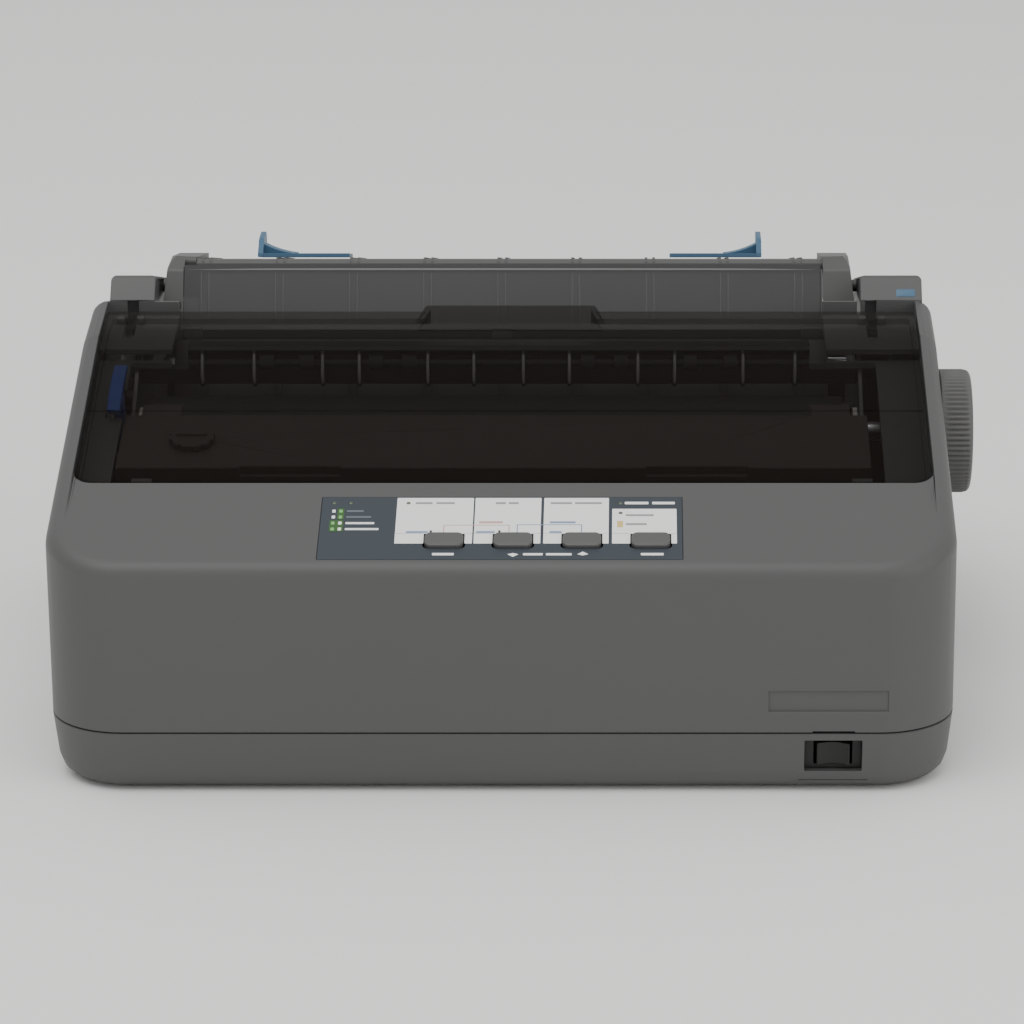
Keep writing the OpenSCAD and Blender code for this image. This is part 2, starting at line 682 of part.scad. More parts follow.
module platen_knob() {
  x0 = half_w + 0.8;
  x1 = half_w + knob_out;
  color([0.46, 0.46, 0.46]) difference() {
    union() {
      along_x(x0, x1 - 2.4) polygon([for (i = [0:knob_n - 1],
        p = [[0, -0.26], [flute, -0.12], [flute, 0.2], [0, 0.38]])
        polar(platen, knob_r - p[0], (i + p[1]) * 360 / knob_n)]);
      translate([x1, platen[0], platen[1]]) rotate([0, -90, 0]) rotate_extrude($fn = 96)
        polygon(concat([[0, 2.5], [0, 1.2], [14, 1.2], [16, 0]],
          arc([knob_r - flute - 3, 2.4], 2.4, -90, 0, 5), [[knob_r - flute - 0.6, 2.5]]));
    }
    // hollow of the knob towards the case
    translate([x0 - 0.1, platen[0], platen[1]]) rotate([0, 90, 0]) difference() {
      cylinder(r = knob_r - 3.4, h = knob_out - 5.5, $fn = 64);
      translate([0, 0, -1]) cylinder(d = 13, h = knob_out, $fn = 48);
    }
    rod_x(platen, shaft_d, half_w - 4, x1 - 5);
  }
}

module platen_shaft() {
  color([0.75, 0.76, 0.78]) rod_x(platen, shaft_d, gear_x - 1, half_w + knob_out - 5);
}

module platen_roller() {
  color([0.10, 0.10, 0.10]) difference() {
    rod_x(platen, 2 * platen_r, mech_x - platen_half, mech_x + platen_half, 96);
    rod_x(platen, shaft_d, mech_x - platen_half - 1, mech_x + platen_half + 1);
  }
}

module platen_bushes() {
  color([0.88, 0.86, 0.80]) for (s = [-1, 1]) difference() {
    union() {
      rod_x(platen, 14, mech_x + s * (frame_in + 0.8) - 1.6, mech_x + s * (frame_in + 0.8) + 1.6);
      rod_x(platen, 19, mech_x + s * (frame_in - 1.2) - 0.9, mech_x + s * (frame_in - 1.2) + 0.9);
    }
    rod_x(platen, shaft_d + 2 * run, mech_x + s * frame_in - 6, mech_x + s * frame_in + 6);
  }
}

module platen_gear() {
  color([0.90, 0.89, 0.84]) {
    gear(platen, z_platen, 0, gear_x, gear_w, shaft_d);
    difference() {
      rod_x(platen, 16, gear_x + gear_w - tiny, gear_x + gear_w + 3);
      rod_x(platen, shaft_d, gear_x, gear_x + gear_w + 4);
    }
  }
}

// first tooth angle of a gear of n teeth that meshes at direction a with a gear of m teeth starting at b
function mesh_a(n, a, m, b) = a + 180 - (180 + (b - a) * m) / n;
feed_t = mesh_a(z_feed, feed_a, z_platen, 0);
pinion_t = mesh_a(z_pinion, pinion_a, z_feed, feed_t);
link_t = mesh_a(z_link, tractor_a, z_platen, 0);
tractor_t = mesh_a(z_tractor, tractor_a, z_link, link_t);

module feed_idler() {
  color([0.90, 0.89, 0.84]) gear(feed_c, z_feed, feed_t, gear_x, gear_w, stud_d + 2 * run);
}

module tractor_idler() {
  color([0.90, 0.89, 0.84]) gear(link_c, z_link, link_t, gear_x, gear_w, stud_d + 2 * run);
}

module feed_pinion() {
  color([0.83, 0.70, 0.35]) {
    gear(pinion_c, z_pinion, pinion_t, gear_x, gear_w, 3);
    rod_x(pinion_c, 3, gear_x, frame_x0 + 10);
  }
}

module feed_motor() {
  color([0.55, 0.56, 0.58]) difference() {
    union() {
      rod_x(pinion_c, 40, frame_x0 + 0.2, frame_x0 + 20);
      along_x(frame_x0, frame_x0 + 1) translate(pinion_c) {
        square([58, 14], center = true);
        circle(d = 40, $fn = 48);
      }
      rod_x(pinion_c, 10, frame_x0 - 1.4, frame_x0 + 1);
    }
    rod_x(pinion_c, 3 + 2 * run, frame_x0 - 3, frame_x0 + 12);
  }
}

module tractor_gear() {
  color([0.90, 0.89, 0.84]) gear(tractor_c, z_tractor, tractor_t, gear_x, gear_w, 6);
}

module tractor_shaft() {
  end = 6;
  color([0.75, 0.76, 0.78]) {
    rod_x(tractor_c, end, gear_x - 1, frame_x0 + 1);
    along_x(frame_x0 + 0.4, frame_x1 - 0.4) translate(tractor_c) square(6, center = true);
    rod_x(tractor_c, end, frame_x1 - 1, frame_x1 + frame_t + 1);
  }
}

module tractor_rail() {
  color([0.75, 0.76, 0.78]) rod_x(rail_c, 6, frame_x0 - frame_t - 0.6, frame_x1 + frame_t + 0.6);
}

pin_pitch = 12.7;
tractor_w = 22;
tractor_y = [tractor_c[0] - 9.5, rail_c[0] + 7.5];

// a tractor unit with its row of feed pins; s points outwards
module tractor(x, s) {
  pins = floor((tractor_y[1] - tractor_y[0] - 8) / pin_pitch);
  color([0.13, 0.13, 0.13]) difference() {
    union() {
      along_x(x - tractor_w / 2, x + tractor_w / 2) polygon(concat(
        arc([tractor_y[0] + 8, tractor_c[1] - 1], 8, 270, 90, 8),
        [[tractor_y[1] - 7, tractor_c[1] + 7]],
        arc([tractor_y[1] - 7, tractor_c[1] + 1], 6, 90, 0, 5), [[tractor_y[1] - 1, tractor_c[1] - 10]]));
      // lugs of the lid's hinge
      for (y = [tractor_y[0] + 9, tractor_y[1] - 12])
        translate([x + s * (tractor_w / 2 + 1.4), y, tractor_c[1] + 3])
        translate([-1.6, 0, 0]) cube([3.2, 3, 8]);
      for (i = [0:pins]) translate([x, tractor_y[0] + 7 + i * pin_pitch, tractor_c[1] + 6]) {
        cylinder(d = 3.8, h = 2.4, $fn = 24);
        translate([0, 0, 2.4 - tiny]) cylinder(d1 = 3.8, d2 = 2, h = 1.4, $fn = 24);
      }
    }
    rod_x(tractor_c, 9.4, x - 20, x + 20);
    rod_x(rail_c, 6 + 2 * run, x - 20, x + 20);
    rod_y(x + s * (tractor_w / 2 + 1.4), tractor_y[0], tractor_c[1] + 9.6, 1.6 + 2 * run, 60);
  }
}

// the hinged lid over the pins
module tractor_lid(x, s) {
  hx = x + s * (tractor_w / 2 + 1.4);
  y0 = tractor_y[0] + 1;
  y1 = tractor_y[1] - 4;
  z0 = tractor_c[1] + 8.4;
  color([0.18, 0.18, 0.18]) difference() {
    union() {
      translate([hx - s * 12.5, 0, 0]) block([-10.5, y0, z0 + 2.2], [10.5, y1, z0 + 4.2]);
      translate([hx - s * 22.7, 0, 0]) block([-0.7, y0 + 8, z0 - 1], [0.7, y1 - 8, z0 + 4.2]);
      rod_y(hx, tractor_y[0] + 12.4, tractor_c[1] + 9.6, 3, tractor_y[1] - tractor_y[0] - 24.8);
      rod_y(hx, tractor_y[0] + 8.6, tractor_c[1] + 9.6, 1.6, tractor_y[1] - tractor_y[0] - 17.2);
      translate([hx - s * 1.5, 0, 0])
        block([-1.5, tractor_y[0] + 12.4, z0 + 1.6], [1.5, tractor_y[1] - 12.4, z0 + 4.2]);
    }
    // slot over the pins
    block([x - 3, y0 + 3, z0 - 2], [x + 3, y1 - 3, z0 + 6]);
  }
}

module tractor_left() { tractor(mech_x - tractor_half, -1); }

module tractor_right() { tractor(mech_x + tractor_half, 1); }

module tractor_lid_left() { tractor_lid(mech_x - tractor_half, -1); }

module tractor_lid_right() { tractor_lid(mech_x + tractor_half, 1); }

// ---- frames ----

module frame_outline() {
  function under_cart(y) = cart_front[1] - 12.6 + (y - cart_front[0]) * tan(cart_a);
  polygon([[70, base_z - 4], [252, base_z - 4], [252, 104], [230, 113], [192, 113], [174, 118], [168, 126],
    [158, 126], [150, 119],
    [136, 110], [122, under_cart(122)], [72, under_cart(72)]]);
}

module side_frame(s) {
  x0 = s < 0 ? frame_x0 - frame_t : frame_x1;
  difference() {
    union() {
      along_x(x0, x0 + frame_t) frame_outline();
      // flanges under the base plate
      for (y = [104, 196]) block([min(x0, x0 - s * 10), y, base_z - frame_t],
        [max(x0, x0 - s * 10) + frame_t, y + 18, base_z]);
    }
    rod_x(platen, 14.1, x0 - 1, x0 + 3);
    rod_x(rod, rod_d, x0 - 1, x0 + 3);
    rod_x(tractor_c, 6 + 2 * run, x0 - 1, x0 + 3);
    rod_x(rail_c, 6, x0 - 1, x0 + 3);
    if (s < 0) rod_x(pinion_c, 12, x0 - 1, x0 + 3);
    // windows that lighten the plate
    along_x(x0 - 1, x0 + 3) polygon([[84, 46], [100, 46], [100, 78], [84, 74]]);
    along_x(x0 - 1, x0 + 3) polygon([[206, 46], [240, 46], [240, 84], [206, 84]]);
  }
}

module left_frame() {
  color([0.70, 0.71, 0.72]) {
    side_frame(-1);
    // studs for the idlers
    for (c = [feed_c, link_c]) {
      rod_x(c, stud_d, gear_x - 1, frame_x0 - frame_t + tiny);
      rod_x(c, stud_d + 3, gear_x + gear_w + gap, frame_x0 - frame_t + tiny);
    }
    // stud for the thickness lever
    rod_x(lever_c, stud_d, lever_x[0] - 0.8, frame_x0 - frame_t + tiny);
    rod_x(lever_c, stud_d + 3, lever_x[1] - gap, frame_x0 - frame_t + tiny);
  }
}

module right_frame() {
  color([0.70, 0.71, 0.72]) side_frame(1);
}

module base_frame() {
  x0 = frame_x0;
  x1 = frame_x1;
  color([0.66, 0.67, 0.69]) difference() {
    union() {
      block([x0, 72, base_z], [x1, 250, base_z + base_t]);
      block([x0, 72, base_z], [x1, 73.2, base_z + 8]);
      block([x0, 248.6, base_z], [x1, 250, base_z + 10]);
      tension_bracket();
    }
    for (p = post) translate([p[0], p[1], 0]) cylinder(d = 3.2, h = 60, $fn = 24);
    translate([mech_x - belt_half, belt_y, 0]) cylinder(d = 12, h = 60, $fn = 32);
    for (i = [0:3]) block([-95 + 55 * i, 150, base_z - 1], [-65 + 55 * i, 200, base_z + 3]);
  }
}

// ---- carriage ----

module carriage_rod() {
  color([0.80, 0.81, 0.83]) rod_x(rod, rod_d, frame_x0 - frame_t - 1.2, frame_x1 + frame_t + 1.2);
}

rail_y = 75;
rail_top = 58;

module carriage_rail() {
  color([0.72, 0.73, 0.74]) {
    block([frame_x0 + 2, rail_y - 1.6, base_z + base_t], [frame_x1 - 2, rail_y, rail_top]);
    block([frame_x0 + 2, rail_y - 0.2, base_z + base_t], [frame_x1 - 2, rail_y + 2, base_z + base_t + 1.4]);
  }
}

module carriage() {
  w = 27;
  color([0.12, 0.12, 0.13]) translate([home_x, 0, 0]) difference() {
    union() {
      // block on the rod, arm to the rail
      along_x(-w, w) polygon([[106, 44], [126, 44], [131, 49], [131, 60], [126, 65], [104, 65], [100, 62.2],
        [71.6, 62.2], [71.6, 58.4], [98, 58.4], [104, 54]]);
      // cradle of the head
      for (x = [-24.5, 20]) along_x(x, x + 4.5)
        polygon([[100, 58], [130, 58], [134, 74], [122, 89], [106, 84]]);
      // foot over the rail
      block([-10, 71.6, 50], [10, 73.1, 60]);
      block([-10, 75.3, 50], [10, 77, 60]);
      // clamp on the belt
      block([-7, belt_y + pulley_r - 2.4, belt_z - 2], [7, belt_y + pulley_r + 3.6, 60]);
    }
    rod_x(rod, rod_d + 2 * run, -w - 1, w + 1);
    translate([0, belt_y + pulley_r, belt_z]) block([-8, -0.5, -0.4], [8, belt_t + 0.5, belt_w + 0.5]);
  }
}

module print_head() {
  nose = platen_r + head_gap;
  color([0.30, 0.31, 0.33]) translate([home_x, 0, 0]) at_head() {
    // nose, widening away from the platen
    rotate([0, 90, 0]) linear_extrude(14, center = true)
      polygon([[-2.4, -nose], [2.4, -nose], [6, -nose - 8], [6, -26.4], [-6, -26.4], [-6, -nose - 8]]);
    block([-15, -30, -12], [15, -26, 11]);
    // cooling fins
    for (i = [0:6]) block([-15 + i * 4.6, -50, -12], [-12.6 + i * 4.6, -29.8, 11]);
    block([-15, -52, -12], [15, -48, 6]);
    block([-12, -49, -9], [12, -29, 4]);
    // ears that seat in the carriage's cradle
    block([-19.7, -44, -10], [-14.8, -32, -4]);
    block([14.8, -44, -10], [19.7, -32, -4]);
  }
}

module carriage_motor() {
  color([0.50, 0.51, 0.53]) translate([mech_x - belt_half, belt_y, 0]) difference() {
    union() {
      translate([0, 0, 9]) cylinder(d = 35, h = base_z - 9.8, $fn = 48);
      translate([-21, -13, base_z - 1.4]) cube([42, 26, 1.4]);
      translate([0, 0, base_z - 1]) cylinder(d = 11, h = 3.4, $fn = 32);
    }
    translate([0, 0, 14]) cylinder(d = 3 + 2 * run, h = 40, $fn = 24);
  }
}

module pulley(x, pin) {
  translate([mech_x + x, belt_y, 0]) difference() {
    union() {
      translate([0, 0, belt_z - 1.4]) cylinder(r = pulley_r + 1.8, h = 1.2, $fn = 48);
      translate([0, 0, belt_z - 0.4]) cylinder(r = pulley_r - 0.3, h = belt_w + 0.8, $fn = 48);
      translate([0, 0, belt_z + belt_w + 0.3]) cylinder(r = pulley_r + 1.8, h = 1, $fn = 48);
    }
    translate([0, 0, belt_z - 3]) cylinder(d = pin, h = 20, $fn = 24);
  }
}

module motor_pulley() {
  color([0.80, 0.66, 0.33]) {
    pulley(-belt_half, 3);
    translate([mech_x - belt_half, belt_y, 15]) cylinder(d = 3, h = belt_z + belt_w - 14, $fn = 24);
  }
}

pulley_pin = 4;

module tension_pulley() {
  color([0.88, 0.87, 0.82]) pulley(belt_half, pulley_pin + 2 * run);
}

// a stadium between the two pulley centres
module belt_outline(r) {
  square([2 * belt_half, 2 * r], center = true);
  for (s = [-1, 1]) translate([s * belt_half, 0]) circle(r, $fn = 48);
}

module carriage_belt() {
  color([0.09, 0.09, 0.09]) translate([mech_x, belt_y, belt_z]) linear_extrude(belt_w) difference() {
    belt_outline(pulley_r + belt_t);
    belt_outline(pulley_r);
  }
}

// bracket that carries the tension pulley
module tension_bracket() {
  translate([mech_x + belt_half, belt_y, 0]) {
    translate([-9, -7, base_z + base_t - tiny]) cube([18, 14, 2]);
    translate([0, 0, base_z + base_t]) cylinder(d = 9, h = belt_z - 1.4 - gap - base_z - base_t, $fn = 32);
    translate([0, 0, base_z]) cylinder(d = pulley_pin, h = belt_z + belt_w + 2.4 - base_z, $fn = 24);
  }
}

// ---- ribbon ----

module ribbon_cartridge() {
  color([0.09, 0.085, 0.08]) difference() {
    union() {
      on_cartridge() {
        translate([-cart_half, 0, -cart_h]) cube([2 * cart_half, cart_len, cart_h]);
        for (s = [-1, 1]) translate([s * 134 - 8, cart_len - 1, -cart_h]) cube([16, 9, cart_h]);
      }
      // arms down to the print line
      for (s = [-1, 1]) {
        along_x(mech_x + s * 134 - 6, mech_x + s * 134 + 6) polygon([[118, 103], [122, 115], [129, 113],
          [132.4, 101], [130, 88], [125, 87], [121, 98]]);
        translate([mech_x + s * 134 - 6, 0, 0]) at_head()
          translate([0.4, -platen_r - ribbon_gap - ribbon_t - 7, -8]) cube([11.2, 7 - tiny, 16]);
      }
    }
    // grip steps along the front
    on_cartridge() for (x = [-100, 60]) translate([x, -1, -4]) cube([40, 2.2, 5]);
    on_cartridge() translate([ribbon_knob_at[0], ribbon_knob_at[1], -6])
      cylinder(d = 4 + 2 * run, h = 8, $fn = 32);
  }
}

module ink_ribbon() {
  color([0.05, 0.05, 0.06]) at_head()
    translate([mech_x - 138, -platen_r - ribbon_gap - ribbon_t, -ribbon_h / 2])
      cube([276, ribbon_t, ribbon_h]);
}

module ribbon_knob() {
  color([0.14, 0.14, 0.14]) on_cartridge() translate([ribbon_knob_at[0], ribbon_knob_at[1], 0.3]) {
    translate([0, 0, -5.6]) cylinder(d = 4, h = 6, $fn = 32);
    difference() {
      cylinder(r = 9, h = 2.4, $fn = 48);
      for (i = [0:11]) rotate([0, 0, i * 30]) translate([9.6, 0, -1]) cylinder(r = 1.3, h = 5, $fn = 16);
    }
    translate([0, 0, 2.2]) linear_extrude(1.2) square([12, 2.2], center = true);
  }
}

// ---- tension unit and paper path ----

module tension_unit() {
  half = tension_half;
  color([0.11, 0.10, 0.10]) difference() {
    union() {
      along_x(mech_x - half, mech_x + half) polygon([[160.5, 116], [162.5, 115.2], [168, 117], [171, 128],
        [168, 132.2], [160, 132.2], [158.6, 130.6], [160.5, 128]]);
      // lugs to the side frames
      along_x(frame_x0, frame_x1) polygon([[160.5, 116], [162.5, 115.2], [168, 117], [168, 122],
        [160.5, 122]]);
      for (x = tension_rib, s = [-1, 1]) along_x(mech_x + s * x - 0.8, mech_x + s * x + 0.8)
        polygon([[161, 131], [158, 130], [155.6, 121], [157.2, 115.6], [161, 115.6]]);
    }
    // grooves for the rollers and their shaft
    rod_x(tension_rod, 3 + 2 * run, mech_x - half - 1, mech_x + half + 1, 24);
    for (x = tension_roller, s = [-1, 1])
      rod_x(tension_rod, 7.2, mech_x + s * x - 3.2, mech_x + s * x + 3.2, 32);
  }
}

module tension_rollers() {
  color([0.16, 0.16, 0.16]) {
    rod_x(tension_rod, 3, mech_x - tension_half, mech_x + tension_half, 24);
    for (x = tension_roller, s = [-1, 1])
      rod_x(tension_rod, 6.4, mech_x + s * x - 2.8, mech_x + s * x + 2.8, 32);
  }
}

module paper_pan() {
  r = platen_r + 2.6;
  half = frame_in - 2.6;
  color([0.15, 0.15, 0.15]) {
    along_x(mech_x - half, mech_x + half) translate(platen)
      polygon(concat(arc([0, 0], r, 238, 345, 18), arc([0, 0], r + 1.4, 345, 238, 18)));
    // legs down to the base
    for (x = [-110, 0, 110]) along_x(mech_x + x - 1.5, mech_x + x + 1.5)
      polygon([[146, base_z + base_t], [162, base_z + base_t], [157, 82.6], [149, 82.2]]);
  }
}

module paper_chute() {
  half = frame_in - 2.6;
  color([0.14, 0.14, 0.14]) {
    along_x(mech_x - half + 8, mech_x + half - 8) polygon([[172, 91], [205, 124], [205, 126.4],
      [200.4, 124.2], [196.6, 124.2], [170.6, 92.4]]);
    at_ribs() along_x(-0.4, 0.4) polygon([[173, 97], [194, 121], [194.4, 123], [172, 99]]);
    // hooks to the side frames
    for (s = [-1, 1]) translate([mech_x + s * (frame_in - 6), 0, 0]) block([-6, 176, 96], [6, 184, 100.6]);
  }
}

// ---- levers ----

module thickness_lever() {
  color([0.12, 0.20, 0.42]) difference() {
    union() {
      // shield that covers the slot in the ledge
      along_x(lever_x[0], lever_x[1]) translate(lever_c) rotate(deck_a)
        polygon(concat(arc([0, 0], lever_r, 76, 104, 8), arc([0, 0], lever_r - 2.3, 104, 76, 8)));
      along_x(lever_x[0] + 1, lever_x[1] - 0.6) translate(lever_c) rotate(deck_a)
        translate([-4, 0]) square([8, lever_r - 1]);
      rod_x(lever_c, 16, lever_x[0] + 1, lever_x[1] - 0.6);
    }
    rod_x(lever_c, stud_d + 2 * run, lever_x[0] - 1, lever_x[1] + 1);
  }
}

module release_lever() {
  color([0.20, 0.30, 0.42]) difference() {
    union() {
      along_x(release_x[0], release_x[1])
        polygon([[210.5, 108], [217.5, 108], [225, 137], [227, 143.4], [219, 144.6],
        [219, 137]]);
      rod_x(release_c, 12, release_x[0], release_x[1]);
    }
    rod_x(release_c, stud_d + 2 * run, release_x[0] - 1, release_x[1] + 1);
  }
}

// ---- boards ----

module main_board() {
  color([0.12, 0.34, 0.20]) {
    block([-100, 95, board_z], [56, 262, board_z + board_t]);
    for (p = [[-70, 150, 30, 12], [-20, 180, 24, 24], [20, 140, 14, 20], [-85, 210, 18, 10],
      [10, 215, 30, 8]])
      translate([p[0], p[1], board_z + board_t - tiny]) cube([p[2], p[3], 3.4]);
    for (x = [-60, -45, -30]) translate([x, 120, board_z + board_t - tiny])
      cylinder(d = 10, h = 14, $fn = 32);
  }
}

module power_board() {
  color([0.45, 0.38, 0.20]) {
    block([66, 95, board_z], [156, 214, board_z + board_t]);
    translate([78, 150, board_z + board_t - tiny]) cube([38, 34, 16]);
    translate([126, 120, board_z + board_t - tiny]) cube([3, 60, 15]);
    for (y = [112, 134]) translate([92, y, board_z + board_t - tiny]) cylinder(d = 18, h = 16, $fn = 32);
    translate([132, 188, board_z + board_t - tiny]) cube([14, 20, 12]);
  }
}

module parallel_socket() {
  color([0.70, 0.70, 0.70]) difference() {
    union() {
      block([parallel_x - 28, 262.2, 10.8], [parallel_x + 28, 270, 23.8]);
      block([parallel_x - 21, 269, 12.6], [parallel_x + 21, 272.6, 22]);
      block([parallel_x - 24, 250, board_z + board_t], [parallel_x + 24, 263, 20]);
    }
    block([parallel_x - 19, 266, 14.6], [parallel_x + 19, 274, 20]);
  }
}

module usb_socket() {
  color([0.72, 0.73, 0.74]) difference() {
    block([usb_x - 6, 256, board_z + board_t], [usb_x + 6, 272, 21.6]);
    block([usb_x - 4.2, 262, 12.4], [usb_x + 4.2, 274, 20]);
  }
}

module mains_inlet() {
  color([0.08, 0.08, 0.08]) difference() {
    union() {
      block([inlet_x - 14, 258, inlet_z - 10], [inlet_x + 14, case_d - 0.4, inlet_z + 10]);
      for (x = [-7, 0, 7]) translate([inlet_x + x, 0, inlet_z]) block([-1.6, 250, -2], [1.6, 259, 2]);
    }
    translate([inlet_x, case_d + 1, inlet_z]) rotate([90, 0, 0]) linear_extrude(15)
      polygon([[-11.5, -7.5], [11.5, -7.5], [11.5, 4], [8, 7.5], [-8, 7.5], [-11.5, 4]]);
  }
}

// ---- the part's frame ----

// origin in the middle of the base, with the knob counted in the width
module in_part_frame() {
  translate([-knob_out / 2, -case_d / 2, 0]) children();
}

in_part_frame() lower_case();
in_part_frame() upper_case();
in_part_frame() feet();
in_part_frame() case_screws();
in_part_frame() printer_cover();
in_part_frame() paper_window();
in_part_frame() paper_guide();
in_part_frame() edge_guide_left();
in_part_frame() edge_guide_right();
in_part_frame() panel_plate();
in_part_frame() panel_board();
in_part_frame() status_lamps();
in_part_frame() key(0);  // tear_off_key
in_part_frame() key(1);  // feed_key
in_part_frame() key(2);  // load_key
in_part_frame() key(3);  // pause_key
in_part_frame() power_switch();
in_part_frame() power_rocker();
in_part_frame() platen_knob();
in_part_frame() platen_shaft();
in_part_frame() platen_roller();
in_part_frame() platen_bushes();
in_part_frame() platen_gear();
in_part_frame() feed_idler();
in_part_frame() feed_pinion();
in_part_frame() feed_motor();
in_part_frame() tractor_idler();
in_part_frame() tractor_gear();
in_part_frame() tractor_shaft();
in_part_frame() tractor_rail();
in_part_frame() tractor_left();
in_part_frame() tractor_right();
in_part_frame() tractor_lid_left();
in_part_frame() tractor_lid_right();
in_part_frame() left_frame();
in_part_frame() right_frame();
in_part_frame() base_frame();
in_part_frame() carriage_rod();
in_part_frame() carriage_rail();
in_part_frame() carriage();
in_part_frame() print_head();
in_part_frame() carriage_motor();
in_part_frame() motor_pulley();
in_part_frame() tension_pulley();
in_part_frame() carriage_belt();
in_part_frame() ribbon_cartridge();
in_part_frame() ink_ribbon();
in_part_frame() ribbon_knob();
in_part_frame() tension_unit();
in_part_frame() tension_rollers();
in_part_frame() paper_pan();
in_part_frame() paper_chute();
in_part_frame() thickness_lever();
in_part_frame() release_lever();
in_part_frame() main_board();
in_part_frame() power_board();
in_part_frame() parallel_socket();
in_part_frame() usb_socket();
in_part_frame() mains_inlet();
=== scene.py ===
import bpy
import bmesh
import json
import math
import numpy as np
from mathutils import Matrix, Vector

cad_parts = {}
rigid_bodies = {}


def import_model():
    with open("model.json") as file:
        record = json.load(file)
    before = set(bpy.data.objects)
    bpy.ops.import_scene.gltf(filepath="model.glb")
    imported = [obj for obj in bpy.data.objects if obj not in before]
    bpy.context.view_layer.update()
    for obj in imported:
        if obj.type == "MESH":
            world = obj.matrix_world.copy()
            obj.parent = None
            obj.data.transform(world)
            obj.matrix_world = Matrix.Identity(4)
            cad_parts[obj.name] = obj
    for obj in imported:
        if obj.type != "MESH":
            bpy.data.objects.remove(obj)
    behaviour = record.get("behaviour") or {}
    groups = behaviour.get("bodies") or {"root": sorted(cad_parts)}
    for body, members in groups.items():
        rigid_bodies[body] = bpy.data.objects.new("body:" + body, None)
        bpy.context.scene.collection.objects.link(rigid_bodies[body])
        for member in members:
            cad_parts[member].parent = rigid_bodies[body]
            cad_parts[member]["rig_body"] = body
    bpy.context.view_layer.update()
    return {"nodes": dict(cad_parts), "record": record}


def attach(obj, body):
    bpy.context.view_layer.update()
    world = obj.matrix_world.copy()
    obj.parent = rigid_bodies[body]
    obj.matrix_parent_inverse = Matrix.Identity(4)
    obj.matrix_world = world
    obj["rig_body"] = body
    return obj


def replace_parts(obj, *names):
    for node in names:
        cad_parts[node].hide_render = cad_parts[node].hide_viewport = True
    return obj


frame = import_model()
nodes = frame["nodes"]
print("frame loaded,", len(nodes), "nodes")

# The case frame is in millimetres: x from the middle of the case, y back from its front face, z up from
# the table. place() turns it into the row frame, in metres.
caseMiddle = np.array([6.8, 137.5, 0.0])


def place(points):  # (case millimetres - middle) / 1000
    return (np.asarray(points, float) - caseMiddle) / 1000.0


case = {
    "foldHeight": 91.1,
    "deckSlope": math.radians(17),
    "bendY": 156.0,
    "rearSlope": math.radians(7),
}


def deckHeight(y):  # straight up the deck's slope, then up the flatter strip behind the bend
    y = np.asarray(y, float)
    front = case["foldHeight"] + y * math.tan(case["deckSlope"])
    bend = case["foldHeight"] + case["bendY"] * math.tan(case["deckSlope"])
    return np.where(y <= case["bendY"], front, bend + (y - case["bendY"]) * math.tan(case["rearSlope"]))


def onDeck(x, y, lift):  # the point of the deck at (x, y), moved out along the deck's normal by lift
    x, y, lift = np.broadcast_arrays(np.asarray(x, float), np.asarray(y, float), np.asarray(lift, float))
    slope = case["deckSlope"]
    return np.stack([x, y - lift * math.sin(slope), deckHeight(y) + lift * math.cos(slope)], axis=-1)


# camera and light

camera = {
    "at": (49.8, -1482.4, 610.1),
    "down": math.radians(18.5),
    "lens": 147.1,
    "sensor": 36,
    "shift": -0.117,
    "nearest": 0.05,
}

cameraData = bpy.data.cameras.new("camera")
cameraData.lens = camera["lens"]
cameraData.sensor_width = camera["sensor"]
cameraData.shift_x = camera["shift"]
cameraData.clip_start = camera["nearest"]
cameraObject = bpy.data.objects.new("camera", cameraData)
cameraObject.location = place(camera["at"])
cameraObject.rotation_euler = (math.pi / 2 - camera["down"], 0, 0)
bpy.context.scene.collection.objects.link(cameraObject)
bpy.context.scene.camera = cameraObject

studio = {
    "sky": 0.78,
    "keyPower": 30.0,
    "keySize": 1.8,
    "keyAt": (-0.4, -0.6, 2.3),
    "fillPower": 7.0,
    "fillSize": 1.4,
    "fillAt": (1.4, -1.1, 0.8),
    "aim": (0, 0, 0.07),
    "floor": (0.90, 0.90, 0.89),
    "floorHalf": 4,
    "floorRough": 0.85,
}


def softLight(name):  # a square lamp that faces the middle of the case
    at = studio[name + "At"]
    data = bpy.data.lights.new(name, "AREA")
    data.size = studio[name + "Size"]
    data.energy = studio[name + "Power"]
    lamp = bpy.data.objects.new(name, data)
    lamp.location = at
    lamp.rotation_euler = (Vector(studio["aim"]) - Vector(at)).to_track_quat("-Z", "Y").to_euler()
    bpy.context.scene.collection.objects.link(lamp)


softLight("key")
softLight("fill")
sky = bpy.data.worlds.new("sky")
sky.use_nodes = True
sky.node_tree.nodes["Background"].inputs["Color"].default_value = (1, 1, 1, 1)
sky.node_tree.nodes["Background"].inputs["Strength"].default_value = studio["sky"]
bpy.context.scene.world = sky
print("camera and light ready")


# finishes


class Wire:  # a shader socket that can be used in a sum or a product
    def __init__(self, finish, socket):
        self.finish = finish
        self.socket = socket

    def maths(self, kind, first, second):
        return self.finish.node("ShaderNodeMath", {"operation": kind}, {0: first, 1: second})

    def __add__(self, other):
        return self.maths("ADD", self, other)

    def __mul__(self, other):
        return self.maths("MULTIPLY", self, other)

    def __radd__(self, other):
        return self.maths("ADD", other, self)

    def __rmul__(self, other):
        return self.maths("MULTIPLY", other, self)


